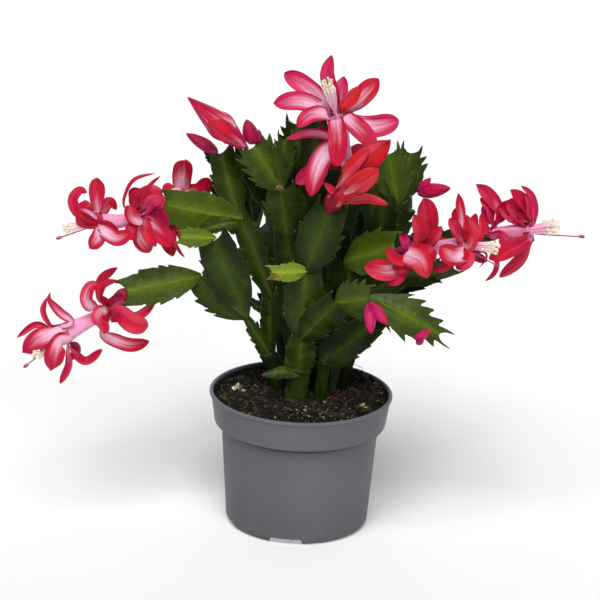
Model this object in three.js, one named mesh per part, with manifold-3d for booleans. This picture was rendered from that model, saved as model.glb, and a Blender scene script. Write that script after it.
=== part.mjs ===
// Potted christmas cactus in full bloom, in millimetres, +Z up, front towards -Y.
// The origin is the middle of the pot's flat underside.
import * as THREE from 'three';
import { mergeVertices } from 'three/addons/utils/BufferGeometryUtils.js';
import ManifoldModule from 'manifold-3d';

const kernel = await ManifoldModule();
kernel.setup();
const { Manifold, Mesh } = kernel;

// Pot: radii and heights of the outer wall from the floor up to the lip
const POT_SIDES = 32;
const POT_HEIGHT = 90;
const LIP_RADIUS = 60;
const MOUTH_OF_POT_RADIUS = 57.8;
const BAND_TOP_RADIUS = 58.9;
const BAND_FOOT_RADIUS = 56.3;
const BAND_FOOT_HEIGHT = 69.8;
const BODY_TOP_RADIUS = 51.5;
const BODY_TOP_HEIGHT = 67;
const BODY_FOOT_RADIUS = 47;
const BASE_RADIUS = 43.4;
const POT_WALL = 1.5;
const POT_FLOOR = 2;

// Drain recesses in the pot's foot, with their turns about the axis in degrees
const NOTCH_TURNS = [-98, -165, 15, 82];
const NOTCH_WIDTH = 21;
const NOTCH_HEIGHT = 3;
const NOTCH_INNER_RADIUS = 36;
const NOTCH_BELOW = 2;
const DRAIN_RADIUS = 3.5;
const DRAIN_CENTRE = 40.5;
const DRAIN_SIDES = 10;

// Soil
const SOIL_GAP = 0.35;
const SOIL_SIDES = 16;
const SOIL_EDGE_HEIGHT = 83;
const SOIL_MOUND = 2.5;
const SOIL_BUMP = 0.9;
const SOIL_RING_RADII = [47, 30];

// Height inside the soil at which the stems' feet end
const ROOT_HEIGHT = 75;

// Chips lying on the soil: x, y, size
const CHIP_SINK = 0.12;
const CHIPS = [
  [-40, 13, 5.2], [40, -9, 3.4], [3, -24, 3.2], [42, 30, 4.6], [-20, 40, 3.4], [-28, -26, 3],
];

// Gap between neighbouring pieces
const CLEARANCE = 0.35;

// Leaf segments: half the thickness at the rib, at the edge and of the woody lowest segments, how far
// the edges cup, how far they twist and how far one segment sits in the next
const RIB_HALF = 1.5;
const EDGE_HALF = 0.45;
const STUMP_HALF = 3.2;
const STUMP_EDGE_HALF = 1.76;
const LEAF_CUP = 1.6;
const LEAF_TWIST = 0.16;
const JOINT_DEPTH = 2;

// Where a leaf that isn't turned looks
const FRONT = new THREE.Vector3(0, -0.95, 0.32).normalize();

// One side of a toothed leaf segment: part of its length, part of its half width, nearest rib point
const LEAF_SIDE = [
  [0, 0.18, 0], [0.17, 0.66, 1], [0.41, 1, 2], [0.435, 0.84, 2], [0.69, 0.98, 3], [0.72, 0.78, 3],
  [1.04, 0.66, 4], [0.97, 0, 5],
];
const LEAF_RIB = [0, 0.17, 0.42, 0.7, 0.84, 0.97];
const STUMP_SIDE = [[0, 0.8, 0], [1, 0.62, 1]];
const STUMP_RIB = [0, 1];

// Leafy stems. Each row is one segment: the row it grows from (-1 is the soil), the x, y, z of its
// tip, its width, its turn about its own length in degrees and its bend towards its face
const STEMS = {
  stem_centre: {
    foot: [-4, -3],
    rows: [
      [-1, -2, -5, 107, 17, 0, 0], [0, -1, -8, 129, 21, 8, 0], [1, 0, -11, 176, 28, 0, 1],
      [2, 14, -18, 220, 29, -6, 2], [2, -25, -23, 176, 12, -20, 1.5], [1, 21, -23, 160, 24, 15, 1],
      [5, 42, -47, 171, 25, 20, 1], [6, 87, -53, 150, 26, -8, 3],
    ],
  },
  stem_right_base: {
    foot: [12, -1],
    rows: [[-1, 14, 0, 111, 13, -20, 0], [0, 44, 0, 138, 23, 6, 2]],
  },
  stem_left_low: {
    foot: [-9, 9],
    rows: [
      [-1, -22, 3, 118, 14, 10, 0], [0, -38, -6, 142, 15, 25, 0], [1, -60, -15, 197, 29, 6, -2],
      [1, -69, -4, 167, 27, -12, 1], [3, -116, -16, 158, 25, 5, 2.5], [2, -81, -22, 199, 13, -15, 1],
    ],
  },
  stem_left_high: {
    foot: [-17, 18],
    rows: [
      [-1, -22, 12, 119, 13, 30, 0], [0, -23, 9, 152, 18, 36, 0], [1, -44, 8, 204, 24, 44, 0],
      [2, -93, -8, 216, 29, -18, 3], [2, -57, 6, 249, 23, 28, -2],
    ],
  },
  stem_mid_left: {
    foot: [-3, 18],
    rows: [
      [-1, -3, 19, 114, 14, 5, 0], [0, -5, 18, 150, 21, -6, 0], [1, -13, 12, 193, 24, 0, 0],
      [2, -18, 8, 225, 26, 5, 1], [3, -37, 3, 254, 26, 8, 1.5], [3, -17, 13, 257, 18, 62, 0],
      [2, -45, 23, 243, 18, 45, -1],
    ],
  },
  stem_top: {
    foot: [11, 16],
    rows: [
      [-1, 10, 20, 118, 14, -4, 0], [0, 15, 22, 160, 22, 4, 0], [1, 19, 13, 197, 26, -10, 0],
      [2, 25, 3, 227, 24, -20, 1], [1, -2, 29, 200, 23, 10, 0], [4, -7, 28, 230, 23, -6, 0],
      [5, -9, 28, 264, 22, 8, -1],
    ],
  },
  stem_right_mid: {
    foot: [17, 9],
    rows: [
      [-1, 23, 12, 118, 13, -15, 0], [0, 29, 8, 151, 24, -10, 0], [1, 26, -2, 181, 24, -8, 0],
      [2, 57, -20, 197, 29, -10, 2.5], [1, 57, 4, 169, 26, 8, 1], [4, 84, -1, 174, 22, -42, 1.5],
    ],
  },
  stem_upper_right: {
    foot: [9, 26],
    rows: [
      [-1, 20, 31, 116, 14, 0, 0], [0, 37, 29, 148, 24, 4, 0], [1, 47, 18, 178, 27, -8, 0],
      [2, 57, 9, 219, 30, 4, 1.5], [3, 64, 8, 253, 27, 10, 1], [3, 46, 17, 255, 24, -14, -1],
      [1, 36, 24, 212, 24, 16, 0],
    ],
  },
  stem_right_far: {
    foot: [21, 23],
    rows: [
      [-1, 36, 25, 118, 13, 0, 0], [0, 55, 26, 150, 22, -8, 0], [1, 74, 24, 186, 25, 6, 0],
      [2, 113, -1, 203, 24, 42, 2], [1, 98, 18, 174, 25, -52, 2],
    ],
  },
  stem_back_left: {
    foot: [-9, 30],
    rows: [
      [-1, -15, 35, 118, 14, 20, 0], [0, -22, 48, 152, 23, -15, 0], [1, -34, 66, 181, 26, 12, 1],
      [2, -44, 94, 190, 27, -10, 3], [3, -52, 122, 176, 26, 8, 3],
    ],
  },
  stem_back: {
    foot: [2, 36],
    rows: [
      [-1, 3, 46, 120, 14, 0, 0], [0, 5, 58, 154, 24, 14, 0], [1, 2, 76, 186, 26, -8, 1],
      [2, 8, 104, 206, 27, 10, 2.5], [3, 4, 134, 200, 26, -12, 3],
    ],
  },
  stem_back_right: {
    foot: [15, 37],
    rows: [
      [-1, 25, 46, 118, 14, -14, 0], [0, 39, 57, 150, 23, 10, 0], [1, 51, 72, 182, 26, -10, 1],
      [2, 62, 94, 199, 27, 8, 2.5], [3, 64, 122, 190, 26, -8, 3],
    ],
  },
};

// Open blooms. The seat is a stem, a row of it, the part of that leaf's length and half width, and the
// height over its middle. Then come where the outer petals start and the mouth of the tube and, from
// the mouth, the middle of the anthers, the stigma and the inner petals: x, y, z of the tip and width.
// Outer petals count from their start
const BLOOMS = {
  low_left: {
    seat: ['stem_left_low', 4, 1.012, 0.41, 0], base: [-125, -19, 147], mouth: [-153, -28, 133],
    anthers: [-17, -8, -10], stigma: [-25, -10, -21],
    inner: [
      [-26, -6, -13, 13], [-6, -12, -21, 13], [-2, -2, -33, 8], [24, 6, -11, 9], [-31, 8, -6, 9],
      [-12, 9, 21, 9], [-8, -6, 29, 9],
    ],
    outer: [
      [4, 7, 26, 9], [-13, -17, 21, 14], [-8, -23, 1, 11], [25, -15, -4, 13], [26, -7, -18, 13],
    ],
  },
  high_left: {
    seat: ['stem_left_high', 3, 1.03, 0.55, 0], base: [-106, -10, 206], mouth: [-134, -20, 205],
    anthers: [-18, -8, 1], stigma: [-25, -8, -6],
    inner: [
      [2, 4, 29, 13], [12, 14, 7, 11], [-16, -6, 15, 12], [-5, -24, 13, 12], [-5, -4, -20, 10],
      [17, -16, -8, 14],
    ],
    outer: [
      [7, -4, 32, 7], [-8, -16, 23, 10], [2, 16, 16, 12], [4, -8, -21, 14], [9, -20, -11, 11],
    ],
  },
  behind_left: {
    seat: ['stem_left_high', 3, 0.95, 0.3, -1.1], base: [-90, 3, 210], mouth: [-86, 22, 212],
    anthers: [1, 17, 3], stigma: [3, 26, -1],
    inner: [
      [5, -6, 26, 14], [23, 0, 14, 12], [-11, 8, 13, 8], [15, -4, -32, 11], [-2, -14, -33, 12],
      [19, 14, -15, 11],
    ],
    outer: [[-11, 5, 12, 10], [2, 1, -24, 10]],
  },
  top: {
    seat: ['stem_top', 3, 0.97, 0, 0], base: [22, -3, 243], mouth: [16, -14, 277],
    anthers: [-6, -12, 26], stigma: [-5, -20, 34],
    inner: [
      [-5, 10, 39, 12], [5, 18, 24, 10], [-35, 0, 29, 13], [-40, -8, 11, 13], [-25, -20, 0, 11],
      [1, -26, -22, 13], [22, -20, -11, 12], [25, 6, 26, 14], [38, -2, 1, 14],
    ],
    outer: [[-37, -9, 20, 9], [-20, -21, -13, 15], [-28, -3, -10, 11], [14, 14, 9, 10]],
  },
  right: {
    seat: ['stem_right_mid', 3, 0.975, -0.1, 0], base: [68, -25, 198], mouth: [99, -32, 203],
    anthers: [17, -4, 1], stigma: [20, -8, -9],
    inner: [
      [-4, 6, 33, 9], [4, -12, 21, 13], [-16, -20, 4, 14], [16, 14, -14, 10], [-3, 12, -19, 9],
      [-1, 19, 17, 10],
    ],
    outer: [
      [5, -8, 36, 16], [-3, -19, 27, 11], [-30, -11, -10, 16], [-10, -27, 6, 14], [10, -21, -12, 15],
    ],
  },
  far_right: {
    seat: ['stem_right_far', 3, 0.97, 0, 0], base: [119, -3, 204], mouth: [142, -10, 208],
    anthers: [14, -2, 4], stigma: [32, -4, -1],
    inner: [
      [-7, -6, 31, 10], [-17, -16, 26, 15], [0, 18, 16, 10], [-26, -14, -16, 12], [-18, 0, -32, 9],
      [-19, -24, -1, 11], [-10, 24, -21, 10],
    ],
    outer: [[-11, -5, 34, 11], [-12, -15, 17, 11], [-4, 14, 18, 9], [-2, 5, -34, 8]],
  },
};

// The half-open bloom, still wrapped
const HALF_OPEN = {
  seat: ['stem_centre', 3, 0.97, 0.05, 0], base: [17, -24, 229], mouth: [22, -30, 236],
  inner: [[24, -15, 37, 16], [15, -3, 28, 14], [20, -22, 18, 16]],
  outer: [[33, -16, 6, 11], [-8, -12, 14, 8], [16, 0, 24, 12]],
};

// Buds: the seat they share, then x, y, z of the tip and width of each
const BUDS = {
  bud_large: { seat: ['stem_mid_left', 4, 1, 0.3, 0], tips: [[-79, -10, 287, 21]] },
  bud_small_left: { seat: ['stem_left_high', 4, 0.995, 0.26, 0], tips: [[-79, 2, 261, 9]] },
  bud_top_pair: {
    seat: ['stem_mid_left', 4, 1.005, -0.36, 0], tips: [[-42, 4, 272, 8], [-30, 6, 267, 7]],
  },
  bud_right_pair: {
    seat: ['stem_upper_right', 4, 0.3, -0.84, 0], tips: [[90, -3, 232, 11], [78, 7, 238, 7]],
  },
  bud_pink_pair: {
    seat: ['stem_centre', 6, 0.95, -0.16, 1.6], tips: [[53, -63, 157, 8], [42, -63, 150, 8]],
  },
  bud_tiny_pair: {
    seat: ['stem_centre', 7, 0.757, -0.75, 0], tips: [[79, -60, 156, 5], [76, -60, 143, 5.5]],
  },
  bud_back: { seat: ['stem_back', 4, 0.97, 0, 0], tips: [[4, 154, 198, 10]] },
};

// Bloom parts: the tube and its blind throat
const OVARY_RADIUS = 2.9;
const FOOT_RADIUS = 1.1;
const NECK_RADIUS = 2.6;
const MOUTH_RADIUS = 5.2;
const HALF_OPEN_MOUTH_RADIUS = 3.6;
const TUBE_SIDES = 6;
const THROAT_RADIUS = 3.2;
const THROAT_FOOT_RADIUS = 2.7;
const THROAT_DEPTH = 9;
const THROAT_REACH = 6;

// Petals: half the thickness, the cup across, the share of a petal's face that looks to the front
// and the outline, in the same order as a leaf's
const PETAL_HALF = 0.4;
const PETAL_CUP = 1.6;
const FACE_SHARE = 0.75;
const PETAL_SIDE = [[0, 0.22, 0], [0.38, 0.78, 1], [0.72, 1, 2], [1, 0, 3]];
const PETAL_RIB = [0, 0.38, 0.72, 1];

// The rings the petals leave from and how far they run along the tube before they open
const INNER_RING_INSET = 0.8;
const INNER_LEAD = 4;
const OUTER_RING_RADIUS = 1.4;
const OUTER_LEAD = 3;
const OUTER_STAGGER = 0.07;
const OPENING = 0.6;

// Stamens and style: heights over the throat's middle, thread and end sizes
const STAMEN_COUNT = 4;
const COLUMN_RISE = 0.8;
const COLUMN_RADII = [1.1, 1.3, 2.2];
const FORK_SPREAD = 1.2;
const ANTHER_SPREAD = 2.8;
const ANTHER_SCATTER = 6;
const ANTHER_HALF = 1;
const ANTHER_LENGTH = 2.6;
const THREAD_HALF = 0.42;
const END_TWIST = 0.37;
const STYLE_DROP = 1.5;
const STIGMA_HALF = 1.3;
const STIGMA_LENGTH = 3.6;
const FLOOR_GAP = 0.8;

// Buds: part of the length and part of the half width, the fold between the petals and their twist
const BUD_SIDES = 6;
const BUD_OUTLINE = [[0, 0.3], [0.12, 0.48], [0.4, 1], [0.68, 0.8], [0.87, 0.4], [1, 0]];
const BUD_FOLD = 0.14;
const BUD_TWIST = 0.22;
const BUD_STAGGER = 0.03;

const GREEN = 0x3f6a1f;
const PETAL_PINK = 0xd62a57;
const BUD_PINK = 0xc92255;
const ANTHER_CREAM = 0xe9d9a0;
const STYLE_RED = 0xb0184f;
const HALF_OPEN_RED = 0xe0402f;
const POT_GREY = 0x66696d;
const SOIL_BROWN = 0x2e241b;

const DEGREE = Math.PI / 180;
const FIRST_STEM_SEED = 6;
const FIRST_BLOOM_SEED = 18;

function vector(values) {
  return new THREE.Vector3(values[0], values[1], values[2]);
}

// Repeatable random numbers between 0 and 1
function seededRandom(seed) {
  let state = seed;
  return () => {
    state = (state * 1664525 + 1013904223) % 4294967296;
    return state / 4294967296;
  };
}

// Collects points and triangles and hands them over as one closed body
class Shell {
  constructor() {
    this.points = [];
    this.triangles = [];
  }

  point(position) {
    this.points.push(position.x, position.y, position.z);
    return this.points.length / 3 - 1;
  }

  triangle(a, b, c) {
    this.triangles.push(a, b, c);
  }

  quad(a, b, c, d) {
    this.triangle(a, b, c);
    this.triangle(a, c, d);
  }

  solid() {
    return new Manifold(new Mesh({
      numProp: 3,
      vertProperties: new Float32Array(this.points),
      triVerts: new Uint32Array(this.triangles),
    }));
  }
}

function solidFromGeometry(geometry) {
  const bare = new THREE.BufferGeometry();
  bare.setAttribute('position', geometry.getAttribute('position'));
  bare.setIndex(geometry.getIndex());
  const merged = mergeVertices(bare, 1e-4);
  const index = merged.getIndex().array;
  const shell = new Shell();
  shell.points = Array.from(merged.getAttribute('position').array);
  for (let i = 0; i < index.length; i += 3) {
    const [a, b, c] = [index[i], index[i + 1], index[i + 2]];
    if (a !== b && b !== c && c !== a) {
      shell.triangle(a, b, c);
    }
  }
  return shell.solid();
}

function geometryFromSolid(solid) {
  const mesh = solid.getMesh();
  const geometry = new THREE.BufferGeometry();
  geometry.setAttribute('position', new THREE.BufferAttribute(new Float32Array(mesh.vertProperties), 3));
  geometry.setIndex(Array.from(mesh.triVerts));
  geometry.computeVertexNormals();
  return geometry;
}

function largestBody(solid) {
  const bodies = solid.decompose();
  return bodies.reduce((best, body) => (body.volume() > best.volume() ? body : best));
}

// A blade with a rib: both faces share one split into triangles. place(along, across, lift) gives a
// point, where lift is half the thickness, up on the face and down on the back
function bladeSolid(side, rib, place, halfThickness) {
  const shell = new Shell();
  const closed = side[side.length - 1][1] === 0;
  const ribPoints = [1, -1].map((face) => rib.map((along) => (
    shell.point(place(along, 0, face * halfThickness(along, 0)))
  )));
  const edgePoints = [1, -1].map((face) => [1, -1].map((hand) => side.map(([along, across], row) => {
    if (closed && row === side.length - 1) {
      return ribPoints[face === 1 ? 0 : 1][rib.length - 1];
    }
    return shell.point(place(along, hand * across, face * halfThickness(along, across)));
  })));

  // Faces, edges and hands: hand 0 is the positive side
  for (let hand = 0; hand < 2; hand += 1) {
    for (let row = 0; row + 1 < side.length; row += 1) {
      const near = side[row][2];
      const far = side[row + 1][2];
      const atTip = closed && row + 2 === side.length;
      for (let face = 0; face < 2; face += 1) {
        const edge = edgePoints[face][hand];
        const middle = ribPoints[face];
        const flip = (face + hand) % 2 === 1;
        const add = (a, b, c) => (flip ? shell.triangle(a, c, b) : shell.triangle(a, b, c));
        if (!atTip) {
          add(middle[far], edge[row + 1], edge[row]);
        }
        if (far !== near) {
          add(middle[near], middle[far], edge[row]);
        }
      }
      const top = edgePoints[0][hand];
      const bottom = edgePoints[1][hand];
      if (hand === 0) {
        shell.quad(top[row], top[row + 1], bottom[row + 1], bottom[row]);
      } else {
        shell.quad(top[row + 1], top[row], bottom[row], bottom[row + 1]);
      }
    }
  }

  // The two ends
  const cap = (row, ribRow, flip) => {
    const ring = [
      ribPoints[0][ribRow], edgePoints[0][0][row], edgePoints[1][0][row],
      ribPoints[1][ribRow], edgePoints[1][1][row], edgePoints[0][1][row],
    ];
    for (let i = 1; i < 5; i += 1) {
      if (flip) {
        shell.triangle(ring[0], ring[i + 1], ring[i]);
      } else {
        shell.triangle(ring[0], ring[i], ring[i + 1]);
      }
    }
  };
  cap(0, 0, false);
  if (!closed) {
    cap(side.length - 1, rib.length - 1, true);
  }
  return shell.solid();
}

// A solid run through rings round a path, each ring with its own radius; ridge above 0 folds it
function strandSolid(path, radii, sides, ridge = 0, twist = 0) {
  const shell = new Shell();
  const rings = [];
  const first = path[1].clone().sub(path[0]).normalize();
  let across = perpendicular(first);
  path.forEach((point, row) => {
    const before = path[Math.max(row - 1, 0)];
    const after = path[Math.min(row + 1, path.length - 1)];
    const along = after.clone().sub(before).normalize();
    across = across.clone().addScaledVector(along, -across.dot(along)).normalize();
    const other = along.clone().cross(across);
    const ring = [];
    if (radii[row] === 0) {
      ring.push(shell.point(point));
    } else {
      for (let i = 0; i < sides; i += 1) {
        const angle = (2 * Math.PI * i) / sides + row * twist;
        const radius = radii[row] * (i % 2 === 1 ? 1 - ridge : 1);
        ring.push(shell.point(point.clone()
          .addScaledVector(across, radius * Math.cos(angle))
          .addScaledVector(other, radius * Math.sin(angle))));
      }
    }
    rings.push(ring);
  });
  for (let row = 0; row + 1 < rings.length; row += 1) {
    for (let i = 0; i < sides; i += 1) {
      const next = (i + 1) % sides;
      const [low, high] = [rings[row], rings[row + 1]];
      if (high.length === 1) {
        shell.triangle(low[i], low[next], high[0]);
      } else if (low.length === 1) {
        shell.triangle(low[0], high[next], high[i]);
      } else {
        shell.quad(low[i], low[next], high[next], high[i]);
      }
    }
  }
  const [start, end] = [rings[0], rings[rings.length - 1]];
  for (let i = 1; i + 1 < sides; i += 1) {
    if (start.length > 1) {
      shell.triangle(start[0], start[i + 1], start[i]);
    }
    if (end.length > 1) {
      shell.triangle(end[0], end[i], end[i + 1]);
    }
  }
  return shell.solid();
}

function perpendicular(direction) {
  const helper = Math.abs(direction.z) < 0.9 ? new THREE.Vector3(0, 0, 1) : new THREE.Vector3(1, 0, 0);
  return helper.addScaledVector(direction, -helper.dot(direction)).normalize();
}

// The leaf segments of a stem with their frames: each starts inside the tip of the one it grows from
function stemLeaves(stem, stemSeed) {
  const tips = [];
  return stem.rows.map(([from, x, y, z, width, turn, bend], row) => {
    const tip = new THREE.Vector3(x, y, z);
    const stump = from < 0;
    let base = new THREE.Vector3(stem.foot[0], stem.foot[1], ROOT_HEIGHT);
    if (!stump) {
      const inward = tip.clone().sub(tips[from]).normalize().multiplyScalar(JOINT_DEPTH);
      base = tips[from].clone().sub(inward);
    }
    tips.push(tip);
    const axis = tip.clone().sub(base).normalize();
    const face = FRONT.clone().addScaledVector(axis, -FRONT.dot(axis)).normalize();
    face.applyAxisAngle(axis, turn * DEGREE);
    const random = seededRandom(stemSeed * 97 + row * 13);
    return {
      base,
      axis,
      face,
      across: face.clone().cross(axis),
      length: tip.distanceTo(base),
      width,
      bend,
      stump,
      cup: LEAF_CUP * (random() * 2 - 0.9),
      twist: LEAF_TWIST * (random() - 0.5),
    };
  });
}

// A point of a leaf: part of its length, part of its half width and height over its middle
function leafPoint(leaf, along, part, lift, grow) {
  const reach = along * leaf.length + (along * 2 - 1) * grow;
  const side = part === 0 ? 0 : (part * leaf.width) / 2 + Math.sign(part) * grow;
  const arch = leaf.bend * 4 * along * (1 - along);
  const raise = lift + arch + leaf.cup * part * part + leaf.twist * side * along;
  return leaf.base.clone().addScaledVector(leaf.axis, reach).addScaledVector(leaf.across, side)
    .addScaledVector(leaf.face, raise);
}

// One leaf segment; grow swells it on all sides
function leafSolid(leaf, grow) {
  const place = (along, part, lift) => leafPoint(leaf, along, part, lift, grow);
  const halfThickness = (along, part) => {
    const rib = leaf.stump ? STUMP_HALF : RIB_HALF * (1.15 - 0.35 * along);
    const edge = leaf.stump ? STUMP_EDGE_HALF : EDGE_HALF;
    return (part === 0 ? rib : edge) + grow;
  };
  const [side, rib] = leaf.stump ? [STUMP_SIDE, STUMP_RIB] : [LEAF_SIDE, LEAF_RIB];
  return bladeSolid(side, rib, place, halfThickness);
}

const LEAVES = {};
Object.entries(STEMS).forEach(([name, stem], row) => {
  LEAVES[name] = stemLeaves(stem, FIRST_STEM_SEED + row);
});

// The point of a leaf that a bloom or a bud sits on
function seatPoint([name, row, along, part, lift]) {
  return leafPoint(LEAVES[name][row], along, part, lift, 0);
}

// One petal: it leaves the ring round the tube, runs on along the axis for the lead and bends to its tip
function petalSolid(centre, axis, ringRadius, lead, petal, grow) {
  const [x, y, z, width, share = FACE_SHARE] = petal;
  const offset = new THREE.Vector3(x, y, z);
  const outward = offset.clone().addScaledVector(axis, -offset.dot(axis)).normalize();
  const start = centre.clone().addScaledVector(axis, -1).addScaledVector(outward, ringRadius);
  const control = start.clone().addScaledVector(axis, 1 + lead).addScaledVector(outward, lead * OPENING);
  const curve = new THREE.QuadraticBezierCurve3(start, control, centre.clone().add(offset));
  const ringWise = axis.clone().cross(outward).normalize();
  const place = (along, part, lift) => {
    const tangent = curve.getTangent(along);
    const frontWise = FRONT.clone().cross(tangent).normalize();
    const twist = share * Math.min(1, along * 2) * (frontWise.dot(ringWise) < 0 ? -1 : 1);
    const across = ringWise.clone().multiplyScalar(1 - Math.abs(twist)).addScaledVector(frontWise, twist);
    across.addScaledVector(tangent, -across.dot(tangent)).normalize();
    const inside = tangent.clone().cross(across).normalize();
    const side = part === 0 ? 0 : (part * width) / 2 + Math.sign(part) * grow;
    return curve.getPoint(along).addScaledVector(across, side)
      .addScaledVector(tangent, (along * 2 - 1) * grow)
      .addScaledVector(inside, lift + PETAL_CUP * along * part * part);
  };
  return bladeSolid(PETAL_SIDE, PETAL_RIB, place, () => PETAL_HALF + grow);
}

// The ovary and the tube, from the foot to the mouth
function tubeSolid(bloom, mouthRadius, grow) {
  const foot = seatPoint(bloom.seat);
  const [base, mouth] = [bloom.base, bloom.mouth].map(vector);
  const axis = mouth.clone().sub(base).normalize();
  const path = [
    foot,
    foot.clone().lerp(base, 0.5),
    base,
    base.clone().lerp(mouth, 0.5),
    mouth.clone().addScaledVector(axis, grow),
  ];
  const radii = [FOOT_RADIUS, OVARY_RADIUS, NECK_RADIUS, mouthRadius * 0.72, mouthRadius];
  return strandSolid(path, radii.map((radius) => radius + grow), TUBE_SIDES);
}

function bloomSolids(bloom, mouthRadius, grow) {
  const [base, mouth] = [bloom.base, bloom.mouth].map(vector);
  const axis = mouth.clone().sub(base).normalize();
  const innerRadius = mouthRadius - INNER_RING_INSET;
  return [
    tubeSolid(bloom, mouthRadius, grow),
    ...bloom.inner.map((petal) => petalSolid(mouth, axis, innerRadius, INNER_LEAD, petal, grow)),
    ...bloom.outer.map((petal, row) => (
      petalSolid(base, axis, OUTER_RING_RADIUS + row * OUTER_STAGGER, OUTER_LEAD, petal, grow)
    )),
  ];
}

// The blind throat that the stamens and the style stand in
function throatSolid(bloom) {
  const [base, mouth] = [bloom.base, bloom.mouth].map(vector);
  const axis = mouth.clone().sub(base).normalize();
  const path = [-THROAT_DEPTH, THROAT_REACH].map((reach) => mouth.clone().addScaledVector(axis, reach));
  return strandSolid(path, [THROAT_FOOT_RADIUS, THROAT_RADIUS], TUBE_SIDES);
}

// Places points round the mouth: along the tube, up on the stamens' side and sideways
function throatFrame(bloom) {
  const [base, mouth, anthers, stigma] = [bloom.base, bloom.mouth, bloom.anthers, bloom.stigma].map(vector);
  const axis = mouth.clone().sub(base).normalize();
  const rise = anthers.clone().normalize().sub(stigma.clone().normalize());
  rise.addScaledVector(axis, -rise.dot(axis)).normalize();
  const across = axis.clone().cross(rise);
  return (along, up, sideways) => mouth.clone().addScaledVector(axis, along)
    .addScaledVector(rise, up).addScaledVector(across, sideways);
}

// A thread with a pointed body on its end
function threadSolids(path, half, endHalf, endLength, sides, grow) {
  const end = path[path.length - 1];
  const along = end.clone().sub(path[path.length - 2]).normalize();
  const reach = endLength / 2 + grow;
  const bodyPath = [-1, 0, 1].map((part) => end.clone().addScaledVector(along, part * reach));
  return [
    strandSolid(path, path.map(() => half + grow), sides),
    strandSolid(bodyPath, [0, endHalf + grow, 0], 4, 0, END_TWIST),
  ];
}

// A column out of the throat that parts into threads with an anther each
function stamenSolids(bloom, seed, grow) {
  const at = throatFrame(bloom);
  const random = seededRandom(seed);
  const anthers = vector(bloom.mouth).add(vector(bloom.anthers));
  const fork = at(1, COLUMN_RISE, 0).lerp(anthers, 0.5);
  const along = anthers.clone().sub(fork).normalize();
  const up = perpendicular(along);
  const across = along.clone().cross(up);
  const column = [at(FLOOR_GAP - THROAT_DEPTH, COLUMN_RISE, 0), at(0, COLUMN_RISE, 0), fork];
  const solids = [strandSolid(column, COLUMN_RADII.map((radius) => radius + grow), TUBE_SIDES)];
  for (let i = 0; i < STAMEN_COUNT; i += 1) {
    const turn = (2 * Math.PI * (i + 0.5)) / STAMEN_COUNT;
    const spread = up.clone().multiplyScalar(Math.sin(turn)).addScaledVector(across, Math.cos(turn));
    const root = fork.clone().addScaledVector(along, -1).addScaledVector(spread, FORK_SPREAD);
    const end = anthers.clone().addScaledVector(along, (random() - 0.5) * ANTHER_SCATTER)
      .addScaledVector(spread, ANTHER_SPREAD);
    solids.push(...threadSolids([root, end], THREAD_HALF, ANTHER_HALF, ANTHER_LENGTH, 3, grow));
  }
  return solids;
}

function styleSolids(bloom, grow) {
  const at = throatFrame(bloom);
  const stigma = vector(bloom.mouth).add(vector(bloom.stigma));
  const middle = at(2, -STYLE_DROP - 0.7, 0).lerp(stigma, 0.4);
  const path = [at(FLOOR_GAP - THROAT_DEPTH, -STYLE_DROP, 0), at(0.5, -STYLE_DROP - 0.2, 0), middle, stigma];
  return threadSolids(path, THREAD_HALF, STIGMA_HALF, STIGMA_LENGTH, 4, grow);
}

function budSolids(buds, grow) {
  return buds.tips.map(([x, y, z, width], row) => {
    const tip = new THREE.Vector3(x, y, z);
    const foot = seatPoint(buds.seat).lerp(tip, row * BUD_STAGGER);
    const path = BUD_OUTLINE.map(([along]) => foot.clone().lerp(tip, along));
    const radii = BUD_OUTLINE.map(([, part]) => (part === 0 ? 0 : (part * width) / 2 + grow));
    radii[0] = Math.min(radii[0], FOOT_RADIUS + grow);
    return strandSolid(path, radii, BUD_SIDES, BUD_FOLD, BUD_TWIST);
  });
}

// A round body from its outline: radius and height of each point, from the axis round to the axis
function roundSolid(points) {
  return solidFromGeometry(new THREE.LatheGeometry(
    points.map(([radius, height]) => new THREE.Vector2(radius, height)),
    POT_SIDES,
  ).rotateX(Math.PI / 2));
}

// The recesses; grow makes the pot's floor step up over them
function notchSolids(grow) {
  const half = NOTCH_WIDTH / 2 + grow;
  const reach = LIP_RADIUS - NOTCH_INNER_RADIUS + grow;
  const height = NOTCH_HEIGHT + grow + NOTCH_BELOW;
  return NOTCH_TURNS.map((turn) => {
    const box = new THREE.BoxGeometry(reach, half * 2, height);
    box.translate(LIP_RADIUS - reach / 2, 0, height / 2 - NOTCH_BELOW);
    box.rotateZ(turn * DEGREE);
    return solidFromGeometry(box);
  });
}

// The holes that drain into the recesses
function drainSolids() {
  return NOTCH_TURNS.map((turn) => {
    const x = DRAIN_CENTRE * Math.cos(turn * DEGREE);
    const y = DRAIN_CENTRE * Math.sin(turn * DEGREE);
    const path = [new THREE.Vector3(x, y, 1), new THREE.Vector3(x, y, NOTCH_HEIGHT + POT_WALL + 1)];
    return strandSolid(path, [DRAIN_RADIUS, DRAIN_RADIUS], DRAIN_SIDES);
  });
}

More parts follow.
